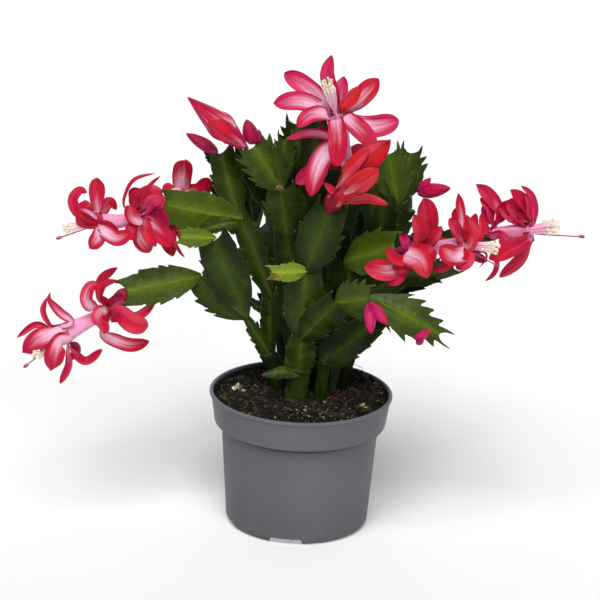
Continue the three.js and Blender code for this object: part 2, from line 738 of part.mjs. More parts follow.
function potSolid() {
  const outer = roundSolid([
    [0, 0], [BASE_RADIUS, 0], [BASE_RADIUS + 2.3, 1.1], [BODY_FOOT_RADIUS, 3.6],
    [BODY_TOP_RADIUS, BODY_TOP_HEIGHT], [BAND_FOOT_RADIUS - 0.9, BAND_FOOT_HEIGHT - 0.9],
    [BAND_FOOT_RADIUS, BAND_FOOT_HEIGHT],
    [BAND_TOP_RADIUS, POT_HEIGHT - 2.6], [LIP_RADIUS, POT_HEIGHT - 1.8], [LIP_RADIUS, POT_HEIGHT - 0.7],
    [LIP_RADIUS - 0.8, POT_HEIGHT], [0, POT_HEIGHT],
  ]);
  const room = roundSolid([
    [0, POT_FLOOR], [BASE_RADIUS, POT_FLOOR], [BODY_FOOT_RADIUS - POT_WALL, 4.8],
    [BODY_TOP_RADIUS - POT_WALL, BODY_TOP_HEIGHT + 1],
    [BAND_FOOT_RADIUS - POT_WALL - 0.4, BAND_FOOT_HEIGHT + 1],
    [BAND_TOP_RADIUS - POT_WALL + 0.2, POT_HEIGHT - 1], [MOUTH_OF_POT_RADIUS, POT_HEIGHT],
    [MOUTH_OF_POT_RADIUS, POT_HEIGHT + 1], [0, POT_HEIGHT + 1],
  ]);
  return Manifold.difference([
    Manifold.difference([outer, ...notchSolids(0)]),
    Manifold.difference([room, ...notchSolids(POT_WALL)]),
    ...drainSolids(),
  ]);
}

// The soil: a bumpy top over a plain body that keeps clear of the pot's inside
function soilSolid() {
  const random = seededRandom(41);
  const shell = new Shell();
  const floorHeight = NOTCH_HEIGHT + POT_WALL + SOIL_GAP;
  const wall = [
    [BODY_FOOT_RADIUS - POT_WALL - 0.8, floorHeight],
    [BODY_TOP_RADIUS - POT_WALL - SOIL_GAP - 0.1, BODY_TOP_HEIGHT + 1.2],
    [BAND_FOOT_RADIUS - POT_WALL - SOIL_GAP - 0.6, BAND_FOOT_HEIGHT + 1.4],
    [BAND_TOP_RADIUS - POT_WALL - SOIL_GAP - 0.9, SOIL_EDGE_HEIGHT],
  ];
  const rings = wall.map(([radius, height]) => [radius, height, 0]);
  SOIL_RING_RADII.forEach((radius) => {
    const height = SOIL_EDGE_HEIGHT + SOIL_MOUND * (1 - radius / LIP_RADIUS);
    rings.push([radius, height, SOIL_BUMP]);
  });
  const points = rings.map(([radius, height, bump]) => {
    const ring = [];
    for (let i = 0; i < SOIL_SIDES; i += 1) {
      const angle = (2 * Math.PI * i) / SOIL_SIDES;
      const lift = bump * (random() * 2 - 1);
      ring.push(shell.point(new THREE.Vector3(
        radius * Math.cos(angle), radius * Math.sin(angle), height + lift,
      )));
    }
    return ring;
  });
  const floor = shell.point(new THREE.Vector3(0, 0, floorHeight));
  const crown = shell.point(new THREE.Vector3(0, 0, SOIL_EDGE_HEIGHT + SOIL_MOUND));
  for (let i = 0; i < SOIL_SIDES; i += 1) {
    const next = (i + 1) % SOIL_SIDES;
    for (let row = 0; row + 1 < points.length; row += 1) {
      shell.quad(points[row][i], points[row][next], points[row + 1][next], points[row + 1][i]);
    }
    shell.triangle(floor, points[0][next], points[0][i]);
    shell.triangle(crown, points[points.length - 1][i], points[points.length - 1][next]);
  }
  const chips = CHIPS.map(([x, y, size]) => {
    const chip = new THREE.BoxGeometry(size, size * (0.5 + 0.4 * random()), size * 0.6);
    chip.rotateX(0.8 * (random() - 0.5));
    chip.rotateZ(random() * Math.PI);
    const height = SOIL_EDGE_HEIGHT + SOIL_MOUND * (1 - Math.hypot(x, y) / LIP_RADIUS);
    chip.translate(x, y, height + size * CHIP_SINK);
    return solidFromGeometry(chip);
  });
  return Manifold.union([shell.solid(), ...chips]);
}

// Pieces in the order they claim their room: later ones are cut clear of earlier ones
const pieces = [];

function boxesMeet(a, b) {
  return [0, 1, 2].every((i) => a.min[i] <= b.max[i] && b.min[i] <= a.max[i]);
}

// makeSolids(grow) gives a piece's solids, swollen by grow; holes are taken out of it
function addPiece(name, colour, roughness, makeSolids, holes = []) {
  const grownSolids = makeSolids(CLEARANCE);
  let solid = Manifold.union(makeSolids(0));
  if (holes.length > 0) {
    solid = Manifold.difference([solid, ...holes]);
  }
  const box = solid.boundingBox();
  const cutters = [];
  pieces.forEach((piece) => {
    piece.grown.forEach((grown) => {
      if (boxesMeet(grown.boundingBox(), box)) {
        cutters.push(grown);
      }
    });
  });
  if (cutters.length > 0) {
    solid = Manifold.difference([solid, ...cutters]);
  }
  pieces.push({ name, colour, roughness, solid: largestBody(solid), grown: grownSolids });
}

Object.entries(LEAVES).forEach(([name, leaves]) => {
  addPiece(name, GREEN, 0.5, (grow) => leaves.map((leaf) => leafSolid(leaf, grow)));
});
Object.entries(BLOOMS).forEach(([name, bloom], row) => {
  const throat = throatSolid(bloom);
  const bloomSeed = FIRST_BLOOM_SEED + row;
  addPiece(`style_${name}`, STYLE_RED, 0.45, (grow) => styleSolids(bloom, grow));
  addPiece(`stamens_${name}`, ANTHER_CREAM, 0.7, (grow) => stamenSolids(bloom, bloomSeed, grow));
  addPiece(`bloom_${name}`, PETAL_PINK, 0.4, (grow) => bloomSolids(bloom, MOUTH_RADIUS, grow), [throat]);
});
addPiece('bloom_half_open', HALF_OPEN_RED, 0.4, (grow) => (
  bloomSolids(HALF_OPEN, HALF_OPEN_MOUTH_RADIUS, grow)
));
Object.entries(BUDS).forEach(([name, buds]) => {
  addPiece(name, BUD_PINK, 0.4, (grow) => budSolids(buds, grow));
});

const stemCutters = pieces.filter((piece) => piece.name.startsWith('stem_')).flatMap((piece) => piece.grown);
const soil = largestBody(Manifold.difference([soilSolid(), ...stemCutters]));
pieces.unshift({ name: 'soil', colour: SOIL_BROWN, roughness: 0.95, solid: soil });
pieces.unshift({ name: 'pot', colour: POT_GREY, roughness: 0.5, solid: potSolid() });

const group = new THREE.Group();
group.name = 'christmas_cactus';
pieces.forEach(({ name, colour, roughness, solid }) => {
  const material = new THREE.MeshStandardMaterial({ color: colour, roughness, metalness: 0 });
  material.name = `${name}_material`;
  const mesh = new THREE.Mesh(geometryFromSolid(solid), material);
  mesh.name = name;
  group.add(mesh);
});

export default group;
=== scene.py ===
import math
import random

import bpy
import numpy as np
from mathutils import Matrix, Vector


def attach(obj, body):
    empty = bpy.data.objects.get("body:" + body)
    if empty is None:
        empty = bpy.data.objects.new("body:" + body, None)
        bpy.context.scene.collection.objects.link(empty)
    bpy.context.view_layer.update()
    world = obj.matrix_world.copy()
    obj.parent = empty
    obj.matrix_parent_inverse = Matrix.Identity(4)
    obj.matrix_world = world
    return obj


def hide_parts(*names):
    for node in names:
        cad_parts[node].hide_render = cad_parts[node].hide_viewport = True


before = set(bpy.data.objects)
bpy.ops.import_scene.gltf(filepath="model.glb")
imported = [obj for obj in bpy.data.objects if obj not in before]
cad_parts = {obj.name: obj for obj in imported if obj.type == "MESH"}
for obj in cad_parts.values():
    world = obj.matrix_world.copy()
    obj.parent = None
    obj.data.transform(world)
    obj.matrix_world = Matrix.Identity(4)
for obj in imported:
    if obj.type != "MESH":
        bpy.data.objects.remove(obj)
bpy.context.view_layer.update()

BODY = "root"

# Tables are in millimetres, as in the part, and meshes in metres
MM = 0.001

# Camera: place, turns in degrees and lens of the photograph
CAMERA_PLACE = (-3.03, -1517.6, 659.4)
CAMERA_PITCH = 71.53
CAMERA_ROLL = 2.23
CAMERA_LENS = 148.15
CAMERA_SENSOR = 36

# Studio, in metres: floor and backdrop with a round corner between them, and two wide suns (place, spread
# in degrees and power)
STAGE_HALF_WIDTH = 20
STAGE_FRONT = -20
BACKDROP_START = 2
BACKDROP_CORNER = 1.5
BACKDROP_HEIGHT = 6
SUNS = {"key": ((-0.16, -0.88, 1.35), 38, 3.0), "fill": ((0.7, -1.2, 0.55), 50, 0.8)}

# Pot: radius and height of its corners, from below the floor round the wall to the top of the floor, and
# how round they are
POT_CORNERS = [
    (0, 0), (43.4, 0), (45.7, 1.1), (47, 3.6), (51.5, 67), (55.4, 68.9), (56.3, 69.8), (58.9, 87.4),
    (60, 88.2), (60, 89.3), (59.2, 90), (57.9, 90), (57.6, 89), (54.4, 70.8), (50, 68), (45.5, 5.4),
    (44, 4.5), (0, 4.5),
]
POT_ROUNDS = {3: 1.2, 4: 0.5, 5: 0.45, 6: 0.4, 7: 0.4, 8: 0.3, 9: 0.3, 10: 0.3, 11: 0.3, 13: 1, 14: 1}
LIP_RADIUS = 60
POT_COLUMNS = 192
POT_SHARP_ANGLE = 40
# Drain recesses in the foot, with their turns in degrees, and the hole above each
NOTCH_TURNS = [-98, -165, 15, 82]
NOTCH_WIDTH = 21
NOTCH_HEIGHT = 3.9
NOTCH_ROUND = 1.6
NOTCH_INNER_RADIUS = 42.8
DRAIN_RADIUS = 3.5
DRAIN_CENTRE = 37
DRAIN_SIDES = 24

# Soil
SOIL_EDGE_RADIUS = 56.1
SOIL_EDGE_HEIGHT = 83
SOIL_MOUND = 2.5
SOIL_BOTTOM = 5
SOIL_WALL = [(44.5, 5), (49.5, 68), (53.8, 71)]
SOIL_COLUMNS = 180
SOIL_RINGS = 46
SOIL_SHARP_ANGLE = 50
SOIL_SEED = 11
# What lies on it: crumbs, chips, fibres and roots. A rise is a share of a lump's size
CRUMB_COUNT = 4200
CRUMB_MARGIN = 1.4
CRUMB_LEAST = 0.8
CRUMB_LARGEST = 4.5
LIGHT_CRUMB_LARGEST = 1.7
LIGHT_LEVEL = 0.12
CRUMB_RISE = 0.12
MOSS_LEVEL = 0.75
MOSS_SHARE = 0.7
FRONT_SHARE = 0.12
CHIP_LUMPS = 3
CHIP_RISE = 0.3
FIBRE_COUNT = 120
FIBRE_STEPS = 8
FIBRE_MARGIN = 7
FIBRE_THICK = (0.16, 0.07)
ROOT_STEPS = 16

# Leaf segments
ROOT_HEIGHT = 75
JOINT_DEPTH = 2
RIB_HALF = 1.5
EDGE_HALF = 0.45
LEAF_CUP = 1.6
LEAF_TWIST = 0.16
LEAF_YOUNG = 0.05
FULL_LENGTH = 38
PLAIN_CLAW = 1.15
FRONT = np.array([0, -0.95, 0.32]) / math.hypot(0.95, 0.32)
FIRST_STEM_SEED = 6
STEM_SEED_STEP = 31
FILLER_SEED = 700
# The woody foot of a stem; the front one is swollen
STUMP_HALF = 3.2
FRONT_STUMP_SEED = FIRST_STEM_SEED * STEM_SEED_STEP
FRONT_STUMP_SWELL = 1.3

# Rows: the row it grows from (-1 is the soil), x, y, z of the tip, width, turn in degrees, bend and,
# where it stands out, how young it is
STEMS = {
    "stem_centre": ((-4, -3), [
        (-1, -2, -5, 107, 17, 0, 0), (0, -1, -8, 129, 21, 8, 0, 0.14), (1, 0, -11, 176, 28, 0, 1, 0.12),
        (2, 14, -18, 220, 29, -6, 2, 0.09), (2, -22.8, -23, 177.8, 13.5, -20, 1.5, 0.72),
        (1, 21, -23, 160, 24, 15, 1, 0.1), (5, 42, -47, 171, 25, 20, 1, 0.28),
        (6, 87, -53, 150, 26, -8, 3, 0.26),
    ]),
    "stem_right_base": ((12, -1), [(-1, 14, 0, 111, 13, -20, 0), (0, 44, 0, 138, 23, 6, 2, 0.02)]),
    "stem_left_low": ((-9, 9), [
        (-1, -23, 3, 114.5, 14, 10, 0), (0, -38, -6, 142, 11.5, 25, 0, 0.12),
        (1, -60, -15, 197, 29, 6, -2, 0.08), (1, -69, -4, 167, 27, -12, 1, 0.12),
        (3, -116, -16, 158, 25, 5, 2.5, 0.31), (2, -81, -22, 199, 13, -15, 1, 0.52),
    ]),
    "stem_left_high": ((-17, 18), [
        (-1, -22, 12, 119, 13, 30, 0), (0, -23, 9, 152, 17, 36, 0, 0.1),
        (1, -44, 8, 204, 24, 44, 0, 0.12), (2, -93, -8, 216, 29, -18, 3, 0.37),
        (2, -57, 6, 249, 23, 28, -2, 0.16),
    ]),
    "stem_mid_left": ((-3, 18), [
        (-1, -3, 19, 114, 14, 5, 0), (0, -5, 18, 150, 21, -6, 0, 0.06), (1, -13, 12, 193, 24, 0, 0, 0.06),
        (2, -18, 8, 225, 26, 5, 1, 0.14), (3, -37, 3, 254, 26, 8, 1.5, 0.26),
        (3, -17, 13, 257, 18, 46, 0, 0.3), (2, -45, 23, 243, 18, 45, -1, 0.1),
    ]),
    "stem_top": ((11, 16), [
        (-1, 10, 20, 118, 14, -4, 0), (0, 15, 22, 160, 22, 4, 0, 0.04),
        (1, 19, 13, 197, 26, -10, 0, 0.04), (2, 25, 3, 227, 24, -20, 1, 0.1),
        (1, -2, 29, 200, 23, 10, 0, 0.04), (4, -7, 28, 230, 23, -6, 0, 0.08),
        (5, -9, 28, 264, 22, 8, -1, 0.16),
    ]),
    "stem_right_mid": ((17, 9), [
        (-1, 23, 12, 118, 13, -15, 0), (0, 29, 8, 151, 24, -10, 0, 0.02),
        (1, 26, -2, 181, 24, -8, 0, 0.04), (2, 57, -20, 197, 29, -10, 2.5, 0.36),
        (1, 57, 4, 169, 26, 8, 1, 0.12), (4, 84, -1, 174, 22, -42, 1.5, 0.12),
    ]),
    "stem_upper_right": ((9, 26), [
        (-1, 20, 31, 116, 14, 0, 0), (0, 37, 29, 148, 24, 4, 0, 0.03), (1, 47, 18, 178, 27, -8, 0, 0.05),
        (2, 57, 9, 219, 30, 4, 1.5, 0.12), (3, 64, 8, 253, 27, 10, 1, 0.2),
        (3, 49, 4, 252.5, 24, -14, 1, 0.33), (1, 36, 24, 212, 24, 16, 0, 0.05),
    ]),
    "stem_right_far": ((21, 23), [
        (-1, 36, 25, 118, 13, 0, 0), (0, 55, 26, 150, 22, -8, 0, 0.05), (1, 74, 24, 186, 25, 6, 0, 0.06),
        (2, 113, -1, 203, 24, 42, 2, 0.2), (1, 98, 18, 174, 25, -52, 2, 0.14),
    ]),
    "stem_back_left": ((-9, 30), [
        (-1, -15, 35, 118, 14, 20, 0), (0, -22, 48, 152, 23, -15, 0, 0.06),
        (1, -34, 66, 181, 26, 12, 1, 0.1), (2, -44, 94, 190, 27, -10, 3, 0.22),
        (3, -52, 122, 176, 26, 8, 3, 0.36),
    ]),
    "stem_back": ((2, 36), [
        (-1, 3, 46, 120, 14, 0, 0), (0, 5, 58, 154, 24, 14, 0, 0.06), (1, 2, 76, 186, 26, -8, 1, 0.1),
        (2, 8, 104, 206, 27, 10, 2.5, 0.2), (3, 4, 134, 200, 26, -12, 3, 0.34),
    ]),
    "stem_back_right": ((15, 37), [
        (-1, 25, 46, 118, 14, -14, 0), (0, 39, 57, 150, 23, 10, 0, 0.06),
        (1, 51, 72, 182, 26, -10, 1, 0.1), (2, 62, 94, 199, 27, 8, 2.5, 0.2),
        (3, 64, 122, 190, 26, -8, 3, 0.34),
    ]),
}
# Corky lumps on a joint: x, z, size and tone, all at one depth
SCAR_DEPTH = 3.2
SCAR = [
    (-20.0, 227.6, 3.2, (0.4, -0.9, 0.35)), (-18.2, 227.0, 3.0, (0.5, -0.8, 0.45)),
    (-18.8, 225.4, 3.2, (0.2, 0.0, 0.7)), (-20.6, 226.0, 2.8, (0.3, -0.7, 0.5)),
    (-18.6, 228.6, 2.4, (0.2, 0.0, 0.8)), (-17.0, 225.6, 2.4, (0.3, -0.9, 0.4)),
]
# Leaves with a withered brown corner, with long claws and with a narrow end
WITHERED = {("stem_centre", 4): 0.8}
CLAWS = {
    ("stem_centre", 6): 1.9, ("stem_centre", 7): 2.0, ("stem_upper_right", 3): 1.6,
    ("stem_upper_right", 4): 1.7, ("stem_upper_right", 5): 1.6, ("stem_mid_left", 4): 2.1,
    ("stem_top", 6): 1.5, ("stem_right_mid", 5): 1.4, ("stem_mid_left", 5): 1.9,
    ("stem_right_far", 4): 1.3, ("stem_centre", 4): 0.35, ("stem_left_high", 1): 0.4,
    ("stem_mid_left", 1): 0.5, ("stem_centre", 1): 0.6, ("stem_left_low", 1): 0.6,
    ("stem_right_base", 1): 0.8, ("stem_centre", 2): 0.7, ("stem_left_high", 3): 0.6,
    ("stem_left_low", 4): 0.7, ("stem_left_high", 4): 1.0,
}
TAPERED = {
    ("stem_centre", 7): 0.5, ("stem_left_low", 1): 0.35, ("stem_upper_right", 4): 0.3,
    ("stem_upper_right", 3): 0.2, ("stem_centre", 4): 0.1,
}
# More leaves that fill the plant: stem they belong to, root, tip, width, turn, bend, how young and, where
# they differ, how strong the teeth are
FILLERS = [
    ("stem_mid_left", (-4, 36, 194), (-9.5, 34, 247), 23, 4, 1, 0.05),
    ("stem_mid_left", (-35, 30, 195), (-41, 28, 243), 20, -6, 1, 0.05),
    ("stem_mid_left", (-20, 27, 184), (-17, 23, 244), 22, 10, -1, 0.08),
    ("stem_upper_right", (28, 22, 188), (32, 20, 231), 23, 6, 1, 0.06),
    ("stem_right_base", (16, 4, 103), (32, 2, 121), 13, 12, 1, 0.02),
    ("stem_top", (18, 24, 196), (24, 22, 240), 24, -8, 1, 0.05),
    ("stem_top", (6, 30, 205), (3, 28, 252), 25, 6, 1, 0.05),
    ("stem_mid_left", (-48, 18, 190), (-56, 14, 236), 20, 10, 1, 0.06),
    ("stem_upper_right", (44, 14, 180), (49, 10, 222), 22, -6, 1, 0.08),
    ("stem_left_low", (-12, 8, 98), (-27, 4, 119), 12, -14, 1, 0.05, 0.3),
    ("stem_left_low", (-21.8, 10, 138), (-36, 3, 150), 7, 10, 0, 0.0, 0.2),
    ("stem_left_high", (-44, -4, 204), (-66, -7, 199), 12, 30, 2, 0.17),
    ("stem_right_mid", (40, 12, 205), (42, 9, 236), 22, 6, 1, 0.05),
    ("stem_left_high", (-61.4, 8, 237.9), (-65.5, 6, 252.2), 8, 12, 0, 0.1, 1.8),
    ("stem_top", (3, 27, 232), (6, 25, 272), 17, -5, 1, 0.05),
]

# Open blooms: seat (stem, row, part of its length, part of its half width, lift), start of the outer
# petals, mouth of the tube, anthers and stigma from the mouth and how wide the anthers spread. Petals:
# points they pass up to the tip (from the mouth, outer ones from the base), width, how blunt and how
# pale, hue from magenta (0) to orange red (1) and, where it stands in shade, how dark
BLOOMS = {
    "low_left": dict(
        seat=("stem_left_low", 4, 1.012, 0.41, 0), base=(-125, -19, 147), mouth=(-153, -28, 133),
        anthers=(-15.5, -8, -11), stigma=(-23, -10, -19), spread=3.8, tube=0.85,
        inner=[
            ([(-7, -6, 2), (-16, -8, -2), (-26, -6, -12)], 14, 0.3, 0.75, 0.35),
            ([(-1.5, -10, -2), (-4.5, -14, -9.5), (-7, -12, -21.5)], 13, 0.3, 0.7, 0.4),
            ([(3, -4, -9.5), (3.5, -4, -20), (-2, -2, -33.5)], 5.5, 0.3, 0.5, 0.3),
            ([(5, 2, -11.5), (13.5, 6, -20), (24, 6, -11.5)], 6, 0.3, 0.4, 0.35),
            ([(4.5, 6, -7.5), (7.5, 8, -13.5), (3.5, 9, -21)], 6, 0.5, 0, 0.4, 0.5),
            ([(-8, 4, 0.5), (-19, 8, 2.5), (-31, 8, -6.5)], 4.5, 0.2, 0.4, 0.35),
            ([(-9.5, 6, 3.5), (-14.5, 9, 11.5), (-12, 9, 21)], 4, 0.2, 0.1, 0.35),
            ([(5.5, -5, 10), (-2, -5, 16), (-8.5, -6, 24.5), (-8, -6, 29.5)], 6, 0.05, 0.8, 0.3),
        ],
        outer=[
            ([(-7, 2, 7), (-5.5, 5, 18.5), (4.5, 7, 26.5)], 6, 0.5, 0.2, 0.4),
            ([(-6, 2, 8.5), (-4, 3, 16), (4.5, 4, 19)], 5, 0.2, 0.1, 0.4),
            ([(-8, -12, 4), (-13, -17, 12.5), (-11, -17, 20.5), (-5.5, -14, 22)], 9, 0.6, 0.85, 0.4),
            ([(-4.5, -16, 4), (-5.5, -20, 0.5), (-2, -22, -1.5)], 9, 0.8, 0.85, 0.35),
            ([(-2.5, -18, -0.5), (-1.5, -20, -5.5), (-1.5, -18, -10)], 7.5, 0.9, 0.1, 0.4),
            ([(8, -12, 2), (16.5, -16, -2.5), (26, -15, -4.5)], 13, 1, 0.15, 0.45),
            ([(9.5, -2, -3), (19.5, 2, -3), (29.5, 4, 5.5)], 6, 0.1, 0.1, 0.4),
            ([(-2.5, -6, -13.5), (6.5, -8, -18), (15.5, -7, -20.5), (26.5, -7, -17.5)], 10, 0.35, 0.85, 0.5),
            ([(-0.5, -6, 6), (-3, -8, 10), (-4.5, -9, 12.5)], 6, 0.5, 0, 0.45, 0.2),
            ([(4, 2, 6.5), (9, 4, 10), (15.5, 4, 5.5)], 8, 0.5, 0, 0.4, 0.55),
            ([(1.5, 0, 3), (5.5, 2, 7.5), (10, 2, 4)], 6, 0.5, 0, 0.4, 0.7),
        ],
    ),
    "high_left": dict(
        seat=("stem_left_high", 3, 1.03, 0.55, 0), base=(-106, -10, 206), mouth=(-134, -20, 205),
        anthers=(-17, -8, -1.5), stigma=(-22.5, -8, -8), spread=3.0, tube=0.78,
        inner=[
            ([(1, 2, 7), (0, 4, 17), (0.5, 4, 29)], 10.5, 1, 0.6, 0.4),
            ([(3.5, 8, 5.5), (7, 12, 11), (12, 14, 5)], 7, 0.2, 0.6, 0.4),
            ([(-4, 0, 3), (-12, 0, 7.5), (-15, 2, 14.5), (-11, 4, 20), (-6.5, 5, 18.5)], 7.5, 0.3, 0, 0.4),
            ([(-2, -8, 7), (-5.5, -12, 11.5), (-6.5, -13, 18.5)], 10, 1, 0.1, 0.4),
            ([(-1.5, -12, 9.5), (-5, -15, 12.5), (-9.5, -16, 14)], 3.5, 0.4, 1, 0.1),
            ([(-2, -6, 2.5), (-7, -8, 4.5), (-12, -8, 7.5)], 9.5, 0.6, 0.05, 0.4),
            ([(3.5, -6, -1), (2, -9, -7), (-3.5, -8, -14.5)], 10, 0.5, 0.85, 0.45),
            ([(6, -10, -2), (14.5, -14, -5), (23, -14, -1)], 10, 0.8, 0.85, 0.4),
            ([(5.5, -6, 0.5), (10.5, -4, -4), (14, 0, -12.5)], 9, 0.6, 0.2, 0.4),
        ],
        outer=[
            ([(-10.5, 0, 7), (-10.5, -1, 16), (-4.5, -3, 27), (9, -4, 32)], 2.6, 0.2, 0.2, 0.4),
            ([(1, -6, 14.5), (5.5, -10, 25), (12.5, -12, 32.5)], 3, 0.1, 0.1, 0.4),
            ([(0, -10, 1.5), (-5, -14, 5.5), (-8, -15, 13)], 8, 0.6, 0.85, 0.4),
            ([(2.5, 6, 8.5), (0, 10, 13), (-6, 10, 15.5), (-9, 9, 11.5)], 6, 0.5, 0, 0.4),
            ([(-0.5, 2, 5.5), (-0.5, 0, 13.5), (5.5, -3, 19), (13.5, -4, 17)], 10, 0.8, 0.1, 0.4),
            ([(4, -8, 10), (7.5, -12, 16), (14, -12, 16)], 8, 1, 0.45, 0.2),
            ([(4.5, -8, 6), (10, -10, 6), (13.5, -10, 9.5)], 8, 0.6, 0, 0.3, 0.6),
            ([(-1, -6, -4), (1, -8, -11.5), (6.5, -8, -19)], 11, 0.8, 0.85, 0.4),
            ([(3, -12, 0.5), (5.5, -18, -4), (11, -20, -11.5)], 8.5, 0.3, 0.45, 0.45),
            ([(6, -10, 1.5), (13, -14, -4), (21, -14, -12.5)], 12, 0.5, 0.62, 0.4),
            ([(5.5, -4, 7.5), (10.5, -4, 4.5), (16, -2, -3.5)], 11, 0.6, 0, 0.4, 0.2),
            ([(-3, 4, 4.5), (-4.5, 8, 11), (2, 8, 16.5)], 9, 0.6, 0.1, 0.4),
            ([(-2.5, -10, -0.5), (-5.5, -14, -4.5), (-2, -15, -9.5)], 8, 0.6, 0.3, 0.4),
        ],
    ),
    "behind_left": dict(
        seat=("stem_left_high", 3, 0.95, 0.3, -1.1), base=(-90, 3, 210), mouth=(-86, 22, 212),
        anthers=(1, 17, 3), stigma=(3, 26, -1), spread=3.5,
        inner=[
            ([(3, 2, 4.5), (3.5, -2, 15), (5, -6, 26.5)], 13, 1, 0.85, 0.5),
            ([(9, 2, 3.5), (16, 0, 5.5), (21.5, 0, 13.5)], 11, 0.9, 0.5, 0.4),
            ([(-3, 6, 2), (-6, 8, 4.5), (-9.5, 8, 2.5)], 6, 0.5, 0.2, 0.5),
            ([(1, -6, -10), (-4, -12, -22.5), (-0.5, -14, -36)], 11, 0.5, 0.6, 0.5),
            ([(4, -2, -11), (5.5, -4, -23.5), (10.5, -4, -32.5)], 9, 0.4, 0.25, 0.5),
            ([(9, 8, -7), (14, 12, -13), (19, 14, -16)], 10, 0.6, 0.6, 0.4),
        ],
        outer=[
            ([(-3.5, 3, 2.5), (-8, 5, 6), (-12, 5, 9)], 8, 0.7, 0.2, 0.5),
            ([(0.5, -2, -8.5), (-2.5, -4, -17), (2.5, -4, -24.5)], 9, 0.6, 0.5, 0.5),
            ([(5, -8, -18.5), (8, -9, -25), (12, -9, -30)], 2.6, 0.5, 0, 0.4, 0.2),
        ],
    ),
    "top": dict(
        seat=("stem_top", 3, 0.97, 0, 0), base=(24.5, -3, 243), mouth=(16, -14, 277),
        anthers=(-6.5, -12, 24), stigma=(-7.5, -9, 28.5), spread=3.9, tube=0.72,
        inner=[
            ([(-4.5, 2, 17.5), (-7.5, 6, 28), (-5, 10, 39)], 9.5, 0.15, 0.35, 0.2),
            ([(1, 7, 14), (3, 14, 24.5)], 9.5, 0.15, 0.6, 0.2),
            ([(-10, -2, 11), (-21.5, -2, 21.5), (-34.5, 0, 28.5)], 13, 0.7, 0.86, 0.15),
            ([(-10, -4, 7), (-24, -8, 13), (-40, -8, 10.5)], 12.5, 0.6, 0.9, 0.2),
            ([(-7.5, -8, 5.5), (-17.5, -16, 6), (-25, -20, -0.5)], 10.5, 0.5, 0.85, 0.3),
            ([(-1, -9, 2), (0.5, -20, -7.5), (0.5, -26, -23.5)], 12, 0.5, 0.62, 0.42),
            ([(4.5, -6, 3.5), (13, -14, -1), (24, -20, -11)], 12, 0.8, 0.7, 0.3),
            ([(6.5, 1, 6), (14, 3, 14), (25, 6, 26)], 13, 0.3, 0.8, 0.6),
            ([(3.5, -4, 9), (9, -5, 16.5), (14.5, -4, 23.5)], 8.5, 0.3, 0.1, 0.8),
            ([(8, -2, 0), (22.5, -4, -2.5), (38.5, -2, 1.5)], 14, 0.9, 0.85, 0.1),
            ([(-4, 5, 3.7), (-7.5, 8, 8.6), (-11, 9, 15.4)], 8.5, 0.5, 0.95, 0.15),
        ],
        outer=[
            ([(-10.5, -8, 19.8), (-24, -17, 26.5), (-40.5, -20, 22.7)], 6, 0.5, 0.9, 0.15),
            ([(-10.5, -14, 15.5), (-17, -20, 11.5), (-21, -22, 0), (-23, -22, -13)], 14, 0.4, 0.95, 0.3),
            ([(-13, -6, 4), (-22.5, -8, -1), (-33, -8, -9)], 10.5, 1, 0.2, 0.25, 0.12),
            ([(2, 8, 4.5), (5, 12, 7.5), (11, 14, 10.5)], 10, 0.6, 0.3, 0.4),
            ([(-10.5, 0, 11.5), (-15, 0, 20), (-19, 0, 27)], 7, 0.5, 0.5, 0.3, 0.1),
        ],
    ),
    "right": dict(
        seat=("stem_right_mid", 3, 0.975, -0.1, 0), base=(68, -25, 198), mouth=(99, -32, 203),
        anthers=(17, -4, 1), stigma=(20, -8, -9), spread=3.8, tube=0.78,
        inner=[
            ([(-3, 0, 6.5), (-3, 3, 19), (-5.5, 6, 33)], 6.5, 0.05, 0.75, 0.4),
            ([(-5, 2, 11), (-7.5, 4, 18.5), (-7, 5, 23.5)], 3.8, 0.6, 0.2, 0.4),
            ([(2, -6, 2), (3, -10, 11.5), (0, -12, 21.5)], 10, 0.5, 0.5, 0.65),
            ([(-1.5, -12, -1.5), (-8.5, -18, -0.5), (-17, -20, 5)], 13, 0.6, 0.85, 0.55),
            ([(6, 4, 4.5), (5, 8, 12), (6.5, 10, 19)], 7, 0.4, 0.2, 0.5),
            ([(8.5, 2, 4), (10.5, 4, 11.5), (9.5, 6, 20)], 5, 0.4, 0.1, 0.5),
            ([(5.5, 6, -6.5), (11, 12, -11), (16, 14, -13.5)], 6.5, 0.4, 0, 0.2, 0.55),
            ([(13.5, 10, -6.5), (15, 12, -11.5), (11, 13, -18)], 1.5, 0.2, 0, 0.3, 0.3),
            ([(-5, 8, -10.5), (-10.5, 12, -17.5), (-19, 12, -21)], 6, 0.4, 0.4, 0.5),
            ([(1.5, 10, 4), (1.5, 16, 9.5), (0, 19, 15.5)], 9, 0.6, 0.4, 0.4),
            ([(-2, -4, 5.5), (-6.5, -8, 14), (-11, -8, 20.5)], 8, 0.5, 0.4, 0.45),
            ([(3, -8, -1), (0.5, -14, -6), (-5.5, -14, -10)], 9, 0.6, 0.3, 0.5),
        ],
        outer=[
            ([(5.5, -2, 5.5), (7.5, -6, 19.5), (3.5, -8, 36)], 13.5, 0.8, 0.4, 0.45),
            ([(3, -10, 6.5), (2, -16, 17.5), (-2.5, -18, 28)], 10.5, 0.5, 0.1, 0.6),
            ([(-9, -10, -8.5), (-18, -14, -10.5), (-31.5, -12, -9)], 13.5, 0.5, 0.82, 0.5),
            ([(-7.5, -8, -9), (-11, -12, -14.5), (-16, -12, -20.5)], 12, 0.5, 0.1, 0.5),
            ([(-7, -14, -3.5), (-13.5, -18, -0.5), (-18, -18, 6.5)], 7.5, 0.6, 0.1, 0.55),
            ([(-5.5, -14, 0.5), (3, -21, -1), (8, -23, -12)], 15, 0.1, 0.8, 0.6),
            ([(2, -13, 3), (9, -18.5, 2.5), (13, -19, -1.5)], 10, 0.2, 0.3, 0.6),
